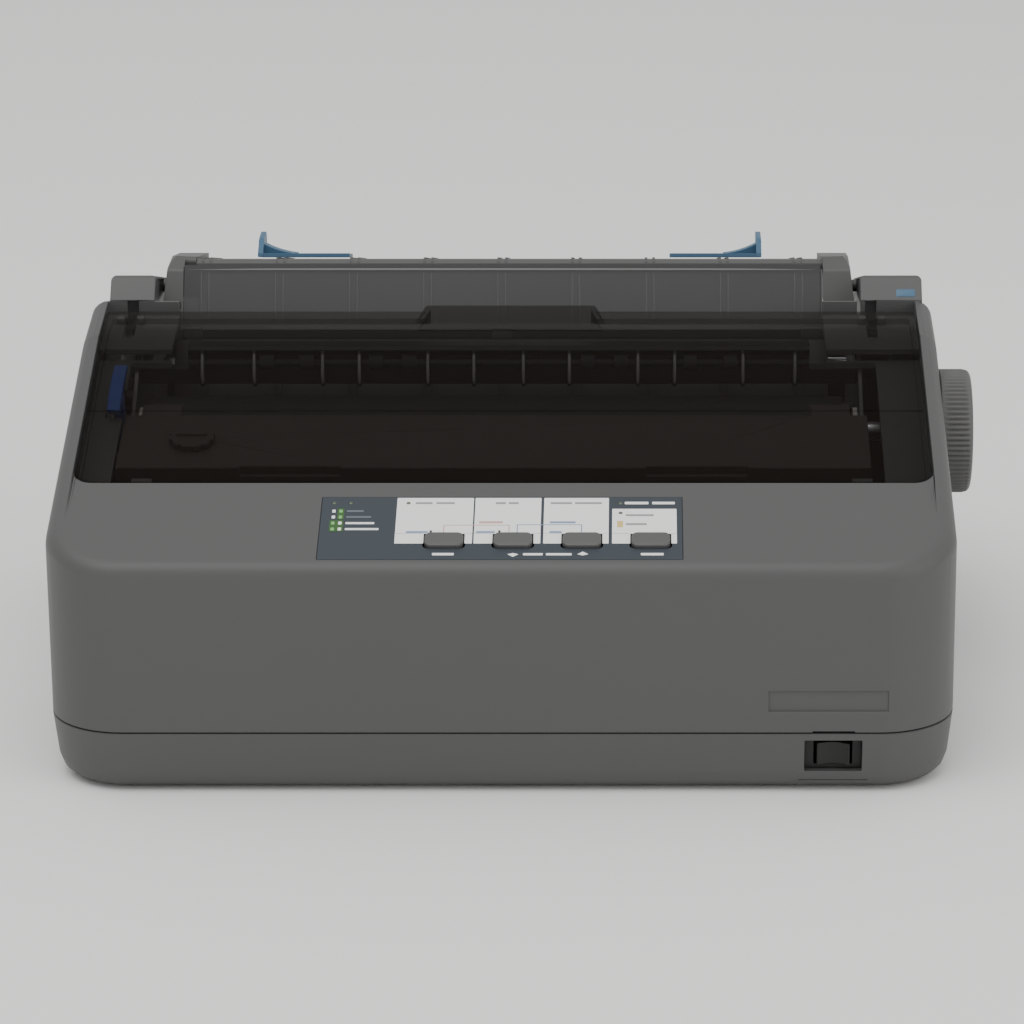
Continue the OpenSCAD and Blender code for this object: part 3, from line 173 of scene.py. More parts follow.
class Finish:  # one material: node() makes its nodes, and its constants are set on the shader's own sockets
    def __init__(self, name, colour, **constants):
        self.name = name
        self.material = bpy.data.materials.new(name)
        self.material.use_nodes = True
        self.tree = self.material.node_tree
        self.shader = self.tree.nodes["Principled BSDF"]
        self.colour = colour
        self.shader.inputs["Base Color"].default_value = (*colour, 1)
        for socket, value in constants.items():
            self.shader.inputs[socket.replace("_", " ")].default_value = value
        self.place = self.node("ShaderNodeTexCoord", {}, {}, "Object")

    def node(self, kind, settings, inputs, output=0):
        made = self.tree.nodes.new(kind)
        for key, value in settings.items():
            setattr(made, key, value)
        for key, value in inputs.items():
            if isinstance(value, Wire):
                self.tree.links.new(value.socket, made.inputs[key])
            else:
                made.inputs[key].default_value = value
        return Wire(self, made.outputs[output])

    def feed(self, socket, wire):
        self.tree.links.new(wire.socket, self.shader.inputs[socket])
        return self

    def noise(self, scale, detail=2.0, stretch=(1, 1, 1)):
        at = self.place
        if stretch != (1, 1, 1):
            at = self.node("ShaderNodeMapping", {}, {"Vector": at, "Scale": stretch})
        return self.node("ShaderNodeTexNoise", {}, {"Vector": at, "Scale": scale, "Detail": detail}, "Fac")

    def tone(self, mask, low, high):
        # the colour times low where the mask is 0, and times high where it is 1; the mix node takes its two
        # colours at inputs 6 and 7 and gives the result at output 2
        mixed = self.node("ShaderNodeMix", {"data_type": "RGBA"}, {
            "Factor": mask,
            6: (*[c * low for c in self.colour], 1),
            7: (*[c * high for c in self.colour], 1),
        }, 2)
        return self.feed("Base Color", mixed)

    def bump(self, height, depth, strength=1.0):
        return self.feed("Normal", self.node("ShaderNodeBump", {}, {
            "Height": height, "Distance": depth, "Strength": strength}))


def mouldedPlastic(name, colour, rough=0.5, grain=1500, depth=0.000015, mottle=0.05, sheen=0.5, **constants):
    # fine spark-eroded grain, with slow changes of tone and a slightly uneven gloss
    made = Finish(name, colour, IOR=1.46, **constants)
    slow = made.noise(14, 3)
    fine = made.noise(grain, 2)
    made.tone(0.65 * slow + 0.35 * fine, 1 - mottle, 1 + mottle)
    made.feed("Roughness", rough - 0.06 + 0.08 * slow + 0.06 * fine)
    made.bump(fine, depth, sheen)
    return made


def brushedMetal(name, colour, rough=0.32, along=0, grain=420, **constants):
    # hairlines drawn out along one axis
    made = Finish(name, colour, Metallic=1.0, **constants)
    stretch = [1.0, 1.0, 1.0]
    stretch[along] = 0.02
    hairline = made.noise(grain, 3, tuple(stretch))
    cloudy = made.noise(30, 2)
    made.tone(0.5 * hairline + 0.5 * cloudy, 0.86, 1.1)
    made.feed("Roughness", rough - 0.08 + 0.2 * hairline)
    made.bump(hairline, 0.00001, 0.4)
    return made


def rubber(name, colour, rough=0.72):
    # chalky patches over a very fine grain
    made = Finish(name, colour, IOR=1.5)
    chalky = made.noise(60, 4)
    fine = made.noise(2400, 2)
    made.tone(chalky, 0.82, 1.25)
    made.feed("Roughness", rough - 0.1 + 0.2 * chalky)
    made.bump(fine, 0.00003, 0.5)
    return made


def smokedSheet(name, colour, clear, rough=0.12, gloss=0.5):
    # tinted sheet: the alpha lets the inside through, faint moulding flow shows in the gloss
    made = Finish(name, colour, IOR=1.49, Alpha=1 - clear, Specular_IOR_Level=gloss)
    flow = made.noise(9, 2, (1, 3, 1))
    dust = made.noise(900, 3)
    made.tone(flow, 0.9, 1.15)
    made.feed("Roughness", rough - 0.03 + 0.05 * flow + 0.05 * dust)
    made.bump(flow, 0.00002, 0.25)
    return made


def printedInk(name, colour, rough=0.42):
    # the fine grain of a screen print, in tone, gloss and height
    made = Finish(name, colour, IOR=1.45)
    screen = made.noise(2600, 1)
    made.tone(screen, 0.95, 1.04)
    made.feed("Roughness", rough - 0.04 + 0.08 * screen)
    made.bump(screen, 0.00001, 0.2)
    return made


def lacqueredBoard(name, colour):
    # bands of glass weave and patches of tone like tracks, under a clear coat
    made = Finish(name, colour, IOR=1.5, Coat_Weight=0.4)
    weave = made.node("ShaderNodeTexWave", {"wave_type": "BANDS", "bands_direction": "X"},
                      {"Vector": made.place, "Scale": 420.0, "Distortion": 1.5})
    tracks = made.noise(160, 2)
    made.tone(0.5 * weave + 0.5 * tracks, 0.75, 1.3)
    made.feed("Roughness", 0.38 + 0.15 * tracks)
    made.bump(weave, 0.00002, 0.4)
    return made


def clearLens(name, colour):
    # glossy lamp lens with faint swirls
    made = Finish(name, colour, IOR=1.49, Coat_Weight=0.6)
    swirl = made.noise(700, 2)
    made.tone(swirl, 0.85, 1.15)
    made.feed("Roughness", 0.18 + 0.08 * swirl)
    return made


finishes = {made.name: made for made in [
    mouldedPlastic("case_grey", (0.076, 0.075, 0.0745), 0.5),
    smokedSheet("cover_smoke", (0.0075, 0.0048, 0.0036), clear=0.6, rough=0.12, gloss=0.05),
    smokedSheet("window_smoke", (0.052, 0.052, 0.052), clear=0.1, rough=0.34, gloss=0.35),
    mouldedPlastic("guide_grey", (0.074, 0.073, 0.072), 0.48),
    mouldedPlastic("edge_blue", (0.052, 0.122, 0.200), 0.42, 1900),
    printedInk("panel_slate", (0.030, 0.040, 0.052), 0.4),
    mouldedPlastic("key_grey", (0.088, 0.087, 0.086), 0.42, 2400),
    clearLens("lamp_green", (0.055, 0.085, 0.045)),
    mouldedPlastic("black_plastic", (0.012, 0.011, 0.0105), 0.5, 1800),
    mouldedPlastic("lever_blue", (0.020, 0.070, 0.300), 0.4, 1900),
    mouldedPlastic("cartridge_black", (0.046, 0.038, 0.034), 0.6, 1800),
    mouldedPlastic("rib_grey", (0.068, 0.068, 0.068), 0.4, 2200),
    # pale finish of the painted highlight along the guide sheet's crease
    mouldedPlastic("crease_highlight_paint", (0.150, 0.150, 0.148), 0.4, 2200),
    # pale finish of the painted highlight along the tension unit's ribs
    mouldedPlastic("rib_highlight_paint", (0.300, 0.290, 0.275), 0.34, 2200),
    mouldedPlastic("knob_grey", (0.092, 0.091, 0.089), 0.46, 1700),
    brushedMetal("steel", (0.62, 0.63, 0.64), 0.24, along=0),
    brushedMetal("sheet_steel", (0.52, 0.53, 0.54), 0.4, along=1),
    brushedMetal("dull_steel", (0.15, 0.145, 0.14), 0.5, along=1),
    rubber("rubber", (0.018, 0.018, 0.018)),
    mouldedPlastic("nylon", (0.72, 0.70, 0.64), 0.42, 1600),
    brushedMetal("brass", (0.78, 0.55, 0.22), 0.26, along=0),
    mouldedPlastic("head_metal", (0.055, 0.057, 0.062), 0.4, 900, depth=0.00004, Metallic=0.7),
    brushedMetal("motor_grey", (0.42, 0.43, 0.44), 0.34, along=2),
    lacqueredBoard("board_green", (0.012, 0.075, 0.032)),
    lacqueredBoard("board_tan", (0.20, 0.13, 0.05)),
    rubber("ribbon_ink", (0.008, 0.008, 0.010), 0.85),
]}
print("finishes ready,", len(finishes))

slotOf = {part["node"]: part["material_slot"] for part in frame["record"]["subparts"]}


# mesh tools

meshRules = {  # lengths in metres, angles in degrees
    "nodeWeld": 0.000002,
    "gridWeld": 0.000001,
    "sliver": 0.0000005,
    "pieceCrease": 40,
    "nodeCrease": 32,
    "foldCrease": 1.5,
    "foldReach": 0.005,
    "bevelSegments": 2,
    "normalWeight": 60,
}


def addPiece(name, mesh, body, slot, smooth=meshRules["pieceCrease"]):
    # a piece on its body, in its slot's finish; smooth is the crease angle, and 0 leaves the shading alone
    piece = bpy.data.objects.new(name, mesh)
    bpy.context.scene.collection.objects.link(piece)
    mesh.materials.clear()
    mesh.materials.append(finishes[slot].material)
    if smooth:
        shadeByAngle(mesh, smooth)
    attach(piece, body)
    return piece


def repaint(piece, paint):  # another finish on a piece, which keeps its slot
    piece.data.materials[0] = finishes[paint].material
    return piece


def shadeByAngle(mesh, degrees):
    # smooth faces, with every edge sharp whose faces meet at more than the angle
    mesh.polygons.foreach_set("use_smooth", np.ones(len(mesh.polygons), bool))
    mesh.set_sharp_from_angle(angle=math.radians(degrees))


def markCreases(mesh):
    # an edge is sharp where its triangles meet at more than the crease angle, or at a slight angle if both
    # reach far from it: so a fold between flat faces stays crisp, and the narrow strips of a curve blend
    count = len(mesh.polygons)
    normals, areas = np.empty(count * 3), np.empty(count)
    edgeOf, ends = np.empty(count * 3, np.int32), np.empty(len(mesh.edges) * 2, np.int32)
    points = np.empty(len(mesh.vertices) * 3)
    mesh.polygons.foreach_get("normal", normals)
    mesh.polygons.foreach_get("area", areas)
    mesh.loops.foreach_get("edge_index", edgeOf)
    mesh.edges.foreach_get("vertices", ends)
    mesh.vertices.foreach_get("co", points)
    normals, ends, points = normals.reshape(-1, 3), ends.reshape(-1, 2), points.reshape(-1, 3)
    length = np.linalg.norm(points[ends[:, 0]] - points[ends[:, 1]], axis=1)
    order = np.argsort(edgeOf, kind="stable")
    edge, face = edgeOf[order], np.repeat(np.arange(count), 3)[order]
    pair = np.flatnonzero(edge[:-1] == edge[1:])
    first, second, at = face[pair], face[pair + 1], edge[pair]
    bend = np.degrees(np.arccos(np.clip((normals[first] * normals[second]).sum(axis=1), -1, 1)))
    reach = 2 * np.minimum(areas[first], areas[second]) / np.maximum(length[at], 1e-9)
    sharp = np.zeros(len(mesh.edges), bool)
    fold = (bend > meshRules["foldCrease"]) & (reach > meshRules["foldReach"])
    sharp[at] = (bend > meshRules["nodeCrease"]) | fold
    mesh.polygons.foreach_set("use_smooth", np.ones(count, bool))
    mesh.edges.foreach_set("use_edge_sharp", sharp)


def finishedCopy(node, bevel):
    # the node's triangles welded, then its sharp edges broken by a small radius; normals are weighted by
    # area, so flat faces stay flat right up to their rounded edges
    cad = nodes[node]
    work = bmesh.new()
    work.from_mesh(cad.data)
    bmesh.ops.remove_doubles(work, verts=work.verts, dist=meshRules["nodeWeld"])
    bmesh.ops.dissolve_degenerate(work, edges=work.edges, dist=meshRules["sliver"])
    bmesh.ops.triangulate(work, faces=work.faces)
    mesh = bpy.data.meshes.new(node + "_finished")
    work.to_mesh(mesh)
    work.free()
    piece = addPiece(node + "_finished", mesh, cad["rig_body"], slotOf[node], 0)
    markCreases(mesh)
    if bevel:
        edge = piece.modifiers.new("brokenEdges", "BEVEL")
        edge.width = bevel / 1000.0
        edge.segments = meshRules["bevelSegments"]
        edge.limit_method = "ANGLE"
        edge.angle_limit = math.radians(meshRules["nodeCrease"])
        edge.use_clamp_overlap = False
        edge.miter_outer = "MITER_ARC"
    weighted = piece.modifiers.new("faceNormals", "WEIGHTED_NORMAL")
    weighted.weight = meshRules["normalWeight"]
    weighted.keep_sharp = True
    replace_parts(piece, node)


def gridPiece(name, points, body, slot, smooth=meshRules["pieceCrease"]):
    # quads between neighbouring points of a (rings, around, 3) array in case millimetres; the last column
    # joins the first, and a ring drawn in to one point becomes a pole when the doubles are merged
    rings, around = points.shape[:2]
    here = np.arange(rings * around).reshape(rings, around)
    ahead = np.roll(here, -1, axis=1)
    quads = np.stack([here[:-1], ahead[:-1], ahead[1:], here[1:]], axis=-1).reshape(-1, 4)
    mesh = bpy.data.meshes.new(name)
    mesh.from_pydata(place(points.reshape(-1, 3)).tolist(), [], quads.tolist())
    work = bmesh.new()
    work.from_mesh(mesh)
    bmesh.ops.remove_doubles(work, verts=work.verts, dist=meshRules["gridWeld"])
    bmesh.ops.dissolve_degenerate(work, edges=work.edges, dist=meshRules["sliver"])
    bmesh.ops.recalc_face_normals(work, faces=work.faces)
    work.to_mesh(mesh)
    work.free()
    return addPiece(name, mesh, body, slot, smooth)


def joinPieces(name, pieces):
    # several pieces of one body and finish become one object
    work = bmesh.new()
    for piece in pieces:
        work.from_mesh(piece.data)
    mesh = pieces[0].data
    work.to_mesh(mesh)
    work.free()
    for piece in pieces[1:]:
        bpy.data.objects.remove(piece)
    pieces[0].name = name
    shadeByAngle(mesh, meshRules["pieceCrease"])
    return pieces[0]


def roundedOutline(x0, x1, y0, y1, radius, inset=0.0, perCorner=7):
    # four quarter circles round the corners of a rectangle, drawn in by inset
    radius = max(radius - inset, 0.02)
    quarter = np.linspace(0, math.pi / 2, perCorner)
    corners = [(x1, y1, 0), (x0, y1, 1), (x0, y0, 2), (x1, y0, 3)]
    parts = []
    for x, y, turn in corners:
        angle = quarter + turn * math.pi / 2
        centreX = x + (-1 if x == x1 else 1) * (inset + radius)
        centreY = y + (-1 if y == y1 else 1) * (inset + radius)
        parts.append(np.stack([centreX + radius * np.cos(angle), centreY + radius * np.sin(angle)], axis=-1))
    return np.concatenate(parts)


def deckPad(name, x0, x1, y0, y1, radius, rings, body, slot, perCorner=7, smooth=meshRules["pieceCrease"]):
    # a pad on the deck: rings is a list of (inset, lift), and both ends are drawn in to a point
    middle = np.array([[(x0 + x1) / 2, (y0 + y1) / 2]])
    loops = []
    for inset, lift in rings:
        outline = roundedOutline(x0, x1, y0, y1, radius, inset, perCorner)
        loops.append(onDeck(outline[:, 0], outline[:, 1], lift))
    count = loops[0].shape[0]
    first = np.repeat(onDeck(middle[:, 0], middle[:, 1], rings[0][1]), count, axis=0)
    last = np.repeat(onDeck(middle[:, 0], middle[:, 1], rings[-1][1]), count, axis=0)
    return gridPiece(name, np.stack([first, *loops, last]), body, slot, smooth)


# CAD nodes

edgeBreaks = {  # nodes by the radius of their broken edges in millimetres; any other keeps its sharp edges
    0.06: ["paper_guide", "paper_window", "panel_plate", "edge_guide_left", "edge_guide_right"],
    0.1: ["carriage_belt", "feed_pinion", "panel_board"],
    0.12: ["case_screws", "paper_chute", "paper_pan", "tension_rollers", "ribbon_knob", "motor_pulley",
           "tension_pulley", "left_frame", "base_frame", "platen_gear", "platen_bushes", "feed_idler",
           "tractor_left", "tractor_right", "tractor_gear", "tractor_idler", "main_board", "power_board",
           "parallel_socket", "usb_socket"],
    0.2: ["power_switch", "tension_unit", "print_head", "carriage_rod", "carriage_rail", "carriage_motor",
          "right_frame", "platen_roller", "platen_shaft", "feed_motor", "tractor_lid_left",
          "tractor_lid_right", "tractor_rail"],
    0.3: ["upper_case", "lower_case", "printer_cover", "carriage", "thickness_lever", "release_lever",
          "mains_inlet"],
    0.4: ["ribbon_cartridge"],
}
edgeRadius = {node: radius for radius, listed in edgeBreaks.items() for node in listed}
replaced = {  # nodes that a piece made further down stands for
    "platen_knob", "tear_off_key", "feed_key", "load_key", "pause_key", "status_lamps", "power_rocker",
}
for node in nodes:
    if node not in replaced:
        finishedCopy(node, edgeRadius.get(node, 0))
paintOf = {  # nodes whose tone differs from their slot's plain finish
    "ribbon_cartridge": "cartridge_black", "ribbon_knob": "cartridge_black",
    "left_frame": "dull_steel", "right_frame": "dull_steel",
}
for node, paint in paintOf.items():
    repaint(bpy.data.objects[node + "_finished"], paint)
print("CAD nodes finished")


# platen knob

knob = {
    "axis": (150.0, 99.0),
    "from": 174.8,
    "to": 187.6,
    "radius": 25.2,
    "flutes": 72,
    "perFlute": 8,
    "fluteDepth": 0.75,
    "wall": 3.4,
    "face": 5.0,
    "boss": 6.5,
    "bore": 4.0,
}


def knobPoints():
    # a profile turned round the shaft, from the bore over the boss, the open well and the rim to the middle
    # of the outer face; the rim is cut by a rounded wave of flutes that fades out at both shoulders
    turn = np.linspace(0, 2 * math.pi, knob["flutes"] * knob["perFlute"], endpoint=False)
    length, radius = knob["to"] - knob["from"], knob["radius"]
    depth, bore, boss = length - knob["face"], knob["bore"], knob["boss"]
    shoulder = np.linspace(0, math.pi / 2, 7)
    profile = [(depth, 0.0), (depth, bore), (0.0, bore), (0.0, boss - 0.3), (0.2, boss), (depth, boss)]
    profile += [(depth, radius - 4.0), (0.0, radius - knob["wall"]), (0.0, radius - 0.9)]
    profile += [(0.5 - 0.5 * math.cos(a), radius - 0.5 + 0.5 * math.sin(a)) for a in shoulder[::2]]
    profile += [(x, radius) for x in np.linspace(1.0, length - 3.2, 6)]
    profile += [(length - 2.4 + 2.4 * math.sin(a), radius - 2.6 + 2.4 * math.cos(a)) for a in shoulder]
    profile += [(length, radius - 5.0), (length - 0.3, radius - 7.4), (length - 1.0, radius - 8.4),
                (length - 1.3, radius - 10.0), (length - 1.2, 6.4), (length - 1.3, 0.0)]
    profile = np.array(profile)
    along, out = profile[:, 0], profile[:, 1]
    fade = np.clip((along - 0.7) / 0.8, 0, 1) * np.clip((length - 1.1 - along) / 1.4, 0, 1)
    fade = fade * (out > radius - 3)
    cut = 0.5 - 0.5 * np.cos(turn * knob["flutes"])
    rounded = out[:, None] - knob["fluteDepth"] * fade[:, None] * cut[None, :] ** 1.6
    y = knob["axis"][0] + rounded * np.cos(turn)
    z = knob["axis"][1] + rounded * np.sin(turn)
    return np.stack([np.broadcast_to(knob["from"] + along[:, None], y.shape), y, z], axis=-1)


knobPiece = gridPiece("knob", knobPoints(), "platen", "knob_grey")
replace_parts(knobPiece, "platen_knob")
print("knob made")


# control panel

panel = {
    "keyPitch": 26.15,
    "keyMiddle": 17.8,
    "keyY": 17.9,
    "keyWide": 14.7,
    "keyDeep": 8.6,
    "keyProud": 1.3,
    "keyCorner": 2.4,
    "keyShoulder": 0.7,
    "keyFoot": -3.4,
    "keyGap": 0.45,
    "stemHalf": 2,
    "stemCorner": 1.9,
    "stemFoot": -5.6,
    "film": -0.1,
    "print": 0.03,
    "sunk": -0.02,
}
keyNames = ["tear_off", "feed", "load", "pause"]
keyMiddles = [(i - 1.5) * panel["keyPitch"] + panel["keyMiddle"] for i in range(len(keyNames))]


def keyCap(name, x):
    # skirt, rounded shoulder and a slightly hollow top, on a stem
    half, depth = panel["keyWide"] / 2, panel["keyDeep"] / 2 * math.cos(case["deckSlope"])
    y, proud, bend = panel["keyY"], panel["keyProud"], panel["keyShoulder"]
    shoulder = [(bend - bend * math.cos(a), proud - bend + bend * math.sin(a))
                for a in np.linspace(0, math.pi / 2, 6)]
    rings = [(0.0, panel["keyFoot"]), (0.0, -0.5), *shoulder,
             (1.3, proud - 0.06), (2.4, proud - 0.16), (3.4, proud - 0.2)]
    cap = deckPad(name + "_cap", x - half, x + half, y - depth, y + depth, panel["keyCorner"], rings,
                  name, "key_grey", perCorner=9)
    stem = panel["stemHalf"]
    post = deckPad(name + "_stem", x - stem, x + stem, y - stem, y + stem, panel["stemCorner"],
                   [(0, panel["stemFoot"]), (0, panel["keyFoot"])], name, "key_grey")
    return joinPieces(name + "_key_piece", [cap, post])


for name, x in zip(keyNames, keyMiddles):
    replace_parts(keyCap(name, x), name + "_key")

inks = {
    "print_white": (0.88, 0.89, 0.87),
    "print_grey": (0.30, 0.30, 0.30),
    "print_soft": (0.13, 0.15, 0.17),
    "print_pink": (0.62, 0.36, 0.33),
    "print_blue": (0.22, 0.29, 0.44),
    "print_dark": (0.03, 0.03, 0.04),
    "print_amber": (0.66, 0.50, 0.20),
    "print_green": (0.035, 0.110, 0.020),
    "print_lime": (0.20, 0.48, 0.16),
}
for ink, colour in inks.items():
    finishes[ink] = printedInk(ink, colour)


def printed(name, ink, shapes, lift=0.0, radius=0.25):
    # thin ink pads on the film, each (x0, x1, y0, y1)
    base = panel["film"] + lift
    rings = [(0, base + panel["sunk"]), (0, base + panel["print"])]
    pads = [deckPad(f"{name}_{i}", *shape, radius, rings, "case", "panel_slate", perCorner=4, smooth=0)
            for i, shape in enumerate(shapes)]
    repaint(joinPieces(name, pads) if len(pads) > 1 else pads[0], ink)


def roundKeys(x0, x1, y0, y1):
    # a white cell with the bite of its key well left free: the strip above the key, then a post on each side
    wellHalf = panel["keyWide"] / 2 + panel["keyGap"]
    wellTop = panel["keyY"] + (panel["keyDeep"] / 2 + panel["keyGap"]) * math.cos(case["deckSlope"]) + 0.05
    middle = min(keyMiddles, key=lambda x: abs(x - (x0 + x1) / 2))
    postTop = wellTop + 0.3
    return [(x0, x1, wellTop, y1), (x0, middle - wellHalf, y0, postTop), (middle + wellHalf, x1, y0, postTop)]


cells = [
    (-40.2, -10.8, 16.4, 44.9), (-10.2, 15.1, 16.4, 44.9), (16.2, 41.0, 16.4, 44.9), (42.3, 66.9, 16.4, 38.0),
]
printed("white_cells", "print_white", [pad for cell in cells for pad in roundKeys(*cell)])

lineMarks = {  # bars where the real panel has wording, the brackets between keys, and the small marks
    "print_grey": [
        (-33.1, -26.6, 41.0, 42.2), (-25.2, -18.1, 41.0, 42.2), (-2.4, 1.5, 41.0, 42.2),
        (2.6, 6.4, 41.0, 42.2), (18.7, 26.9, 41.0, 42.2), (28.0, 38.3, 41.0, 42.2),
        (47.5, 58.2, 33.4, 34.6), (47.5, 55.5, 27.8, 29.0),
    ],
    "print_pink": [(-22.0, -21.6, 22.8, 27.9), (-21.8, 3.1, 27.5, 27.9), (2.9, 3.3, 23.4, 27.9),
                   (-8.5, 0.6, 28.9, 30.1)],
    "print_blue": [
        (6.0, 6.4, 22.8, 28.2), (6.2, 30.7, 27.8, 28.2), (30.5, 30.9, 23.4, 28.2), (18.5, 28.4, 28.9, 30.1),
        (18.5, 23.2, 22.9, 24.0), (-36.1, -27.8, 22.9, 24.0), (-9.4, -2.3, 22.9, 24.0),
    ],
    "print_dark": [(-27.1, -26.2, 22.5, 24.5), (-1.0, -0.1, 22.5, 24.5)],
    "print_amber": [(44.2, 46.5, 26.4, 30.4)],
    "print_green": [(-62.8, -60.2, 31.3, 38.2), (-65.5, -60.2, 23.8, 30.8)],
}
for ink, marks in lineMarks.items():
    printed(ink + "_marks", ink, marks, lift=0.03, radius=0.18)

legend = {  # rows of two dots and a bar; each row names the ink of its left dot and then of its right one
    "rows": [(36.5, "white", "lime"), (32.8, "white", "lime"),
             (29.0, "lime", "white"), (25.3, "lime", "white")],
    "dotX": (-64.2, -61.5),
    "dotHalf": (0.65, 0.9),
    "softBars": [(-59.3, -52.8, 36.0, 37.1), (-59.3, -49.8, 32.3, 33.4)],
    "whiteBars": [
        (-59.4, -48.4, 28.4, 29.6), (-59.4, -46.6, 24.7, 25.9), (47.1, 56.2, 40.9, 42.4),
        (57.6, 66.3, 40.9, 42.4), (-25.6, -17.4, 9.1, 10.5), (8.7, 16.2, 9.1, 10.4), (17.4, 27.1, 9.1, 10.4),
        (53.2, 61.8, 9.1, 10.5),
    ],
}
halfX, halfY = legend["dotHalf"]
for ink in ("white", "lime"):
    squares = [(x - halfX, x + halfX, y - halfY, y + halfY)
               for y, *tints in legend["rows"] for x, tint in zip(legend["dotX"], tints) if tint == ink]
    printed("legend_" + ink, "print_" + ink, squares, lift=0.06, radius=0.3)
printed("legend_bars", "print_soft", legend["softBars"], lift=0.03)
printed("slate_bars", "print_white", legend["whiteBars"], lift=0.03)

arrow = {
    "half": 2.1,
    "reach": 1.6,
    "y": 9.8,
    "back": 0.45,
    "down": 4.9,
    "up": 31.3,
}


def arrowMark(name, x, point):
    # a triangle wide across, whose tip lies point times the reach up the deck
    corners = np.array([(x - arrow["half"], arrow["y"]), (x + arrow["half"], arrow["y"]),
                        (x, arrow["y"] + arrow["reach"] * point)])
    base = onDeck(corners[:, 0], corners[:, 1], panel["film"] + panel["sunk"])
    top = onDeck(corners[:, 0], corners[:, 1], panel["film"] + panel["print"])
    ends = [ring.mean(axis=0, keepdims=True).repeat(3, axis=0) for ring in (base, top)]
    piece = gridPiece(name, np.stack([ends[0], base, top, ends[1]]), "case", "panel_slate", 0)
    repaint(piece, "print_white")


arrowMark("arrow_down", arrow["down"], -1)
arrowMark("arrow_up", arrow["up"], 1)
arrowMark("arrow_down_base", arrow["down"], arrow["back"])
arrowMark("arrow_up_base", arrow["up"], -arrow["back"])

lamp = {
    "radius": 0.9,
    "foot": -8.9,
    "rim": -0.2,
    "dome": 0.4,
    "places": [(-64.3, 41.6), (-57.9, 41.6), (-35.9, 41.6), (45.5, 41.6), (45.5, 35.4)],
}


def lampLens(name, x, y):
    # a round stem with a domed lens just above the film
    turn = np.linspace(0, 2 * math.pi, 24, endpoint=False)
    radius, foot, rim = lamp["radius"], lamp["foot"], lamp["rim"]
    dome = [(radius * math.cos(a), rim + lamp["dome"] * math.sin(a))
            for a in np.linspace(0.2, math.pi / 2, 6)]
    loops = [onDeck(x + r * np.cos(turn), y + r * np.sin(turn) * math.cos(case["deckSlope"]), lift)
             for r, lift in [(0.0, foot), (radius, foot), (radius, rim), *dome]]
    return gridPiece(name, np.stack(loops), "case", "lamp_green")


lenses = [lampLens(f"lens_{i}", x, y) for i, (x, y) in enumerate(lamp["places"])]
lampPiece = joinPieces("lamp_lenses", lenses)
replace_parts(lampPiece, "status_lamps")
print("control panel made")


# power rocker

rocker = {
    "axis": (126.6, 9.0),
    "low": 11.3,
    "high": 20.0,
    "crease": 35,
    "face": [(-5.9, -1.6), (-6.3, -5.0), (-6.1, -5.5), (-5.6, -5.7), (-3.0, -4.75), (-0.5, -4.45),
             (2.0, -4.75), (4.4, -5.6), (5.9, -6.7), (6.25, -6.6), (6.3, -6.2), (5.9, -1.6), (2.0, 2.0),
             (-2.0, 2.0)],
}


def rockerPoints():
    # the plan outline carried up in z; both ends are rounded over and drawn in to the middle
    outline = np.array(rocker["face"])
    middle = outline.mean(axis=0)
    rounding = [(0.0, 0.0), (0.965, 0.0), (0.99, 0.12), (1.0, 0.4)]
    levels = [(size, rocker["low"] + step) for size, step in rounding]
    levels += [(size, rocker["high"] - step) for size, step in reversed(rounding)]
    loops = []
    for size, z in levels:
        ring = middle + (outline - middle) * size + np.array(rocker["axis"])
        loops.append(np.column_stack([ring, np.full(len(ring), z)]))
    return np.stack(loops)


rockerPiece = gridPiece("rocker_piece", rockerPoints(), "rocker", "black_plastic", rocker["crease"])
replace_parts(rockerPiece, "power_rocker")
print("rocker made")


# blue mark of the release lever, on the slope of the right ear

mark = {
    "x": (159.4, 167.2),
    "from": (190.1, 144.55),
    "to": (192.5, 147.05),
    "corner": 0.5,
    "sunk": -0.1,
    "shoulder": 0.12,
    "proud": 0.17,
}


def markPoints():
    # a flat tile between two (y, z) points of the slope, pushed out along the slope's normal
    (y0, z0), (y1, z1) = mark["from"], mark["to"]
    tilt = math.atan2(z1 - z0, y1 - y0)
    outline = roundedOutline(*mark["x"], 0, math.hypot(y1 - y0, z1 - z0), mark["corner"])
    sunk, top = mark["sunk"], mark["proud"]
    loops = []
    for size, proud in [(0, sunk), (1, sunk), (1, mark["shoulder"]), (0.94, top), (0, top)]:
        ring = outline.mean(axis=0) + (outline - outline.mean(axis=0)) * size
        loops.append(np.stack([ring[:, 0], y0 + ring[:, 1] * math.cos(tilt) - proud * math.sin(tilt),
                               z0 + ring[:, 1] * math.sin(tilt) + proud * math.cos(tilt)], axis=-1))
    return np.stack(loops)


gridPiece("release_mark", markPoints(), "case", "edge_blue")
print("blue mark made")


# rib lines on the guide's sheet, a painted highlight along its crease, its side lips, and painted highlights
# along the ribs of the tension unit

guideSheet = {
    "low": (198.0, 128.0),
    "top": (210.0, 152.8),
    "ends": (-137.3, 128.6),
    "lips": [("left", -139.0, -137.35, 12.4), ("right", 128.65, 129.5, 25.8)],
    "lipThick": 1.8,
    "lipFoot": 0.2,
    "ribs": [-4.6 + 31 * i + side for i in range(-4, 5) for side in (-1.6, 1.6)],
    "ribFrom": 1.2,
    "ribTo": 24.9,
    "ribHalf": 0.42,
    "ribProud": 0.24,
    "creaseAt": 25.6,
    "creaseHalf": 0.5,
    "creaseProud": 0.3,
    "creaseInset": 0.4,
}
tensionRibHighlights = {
    "middle": -4.6,
    "offsets": (10.1, 28.9, 56.9, 71.9, 99.8, 121.0),
    "front": [(158.4, 130.4), (157.6, 128.4), (156.6, 124.6), (155.6, 121.0), (156.3, 118.4), (157.0, 116.2)],
    "half": 0.62,
    "proud": 0.42,
}


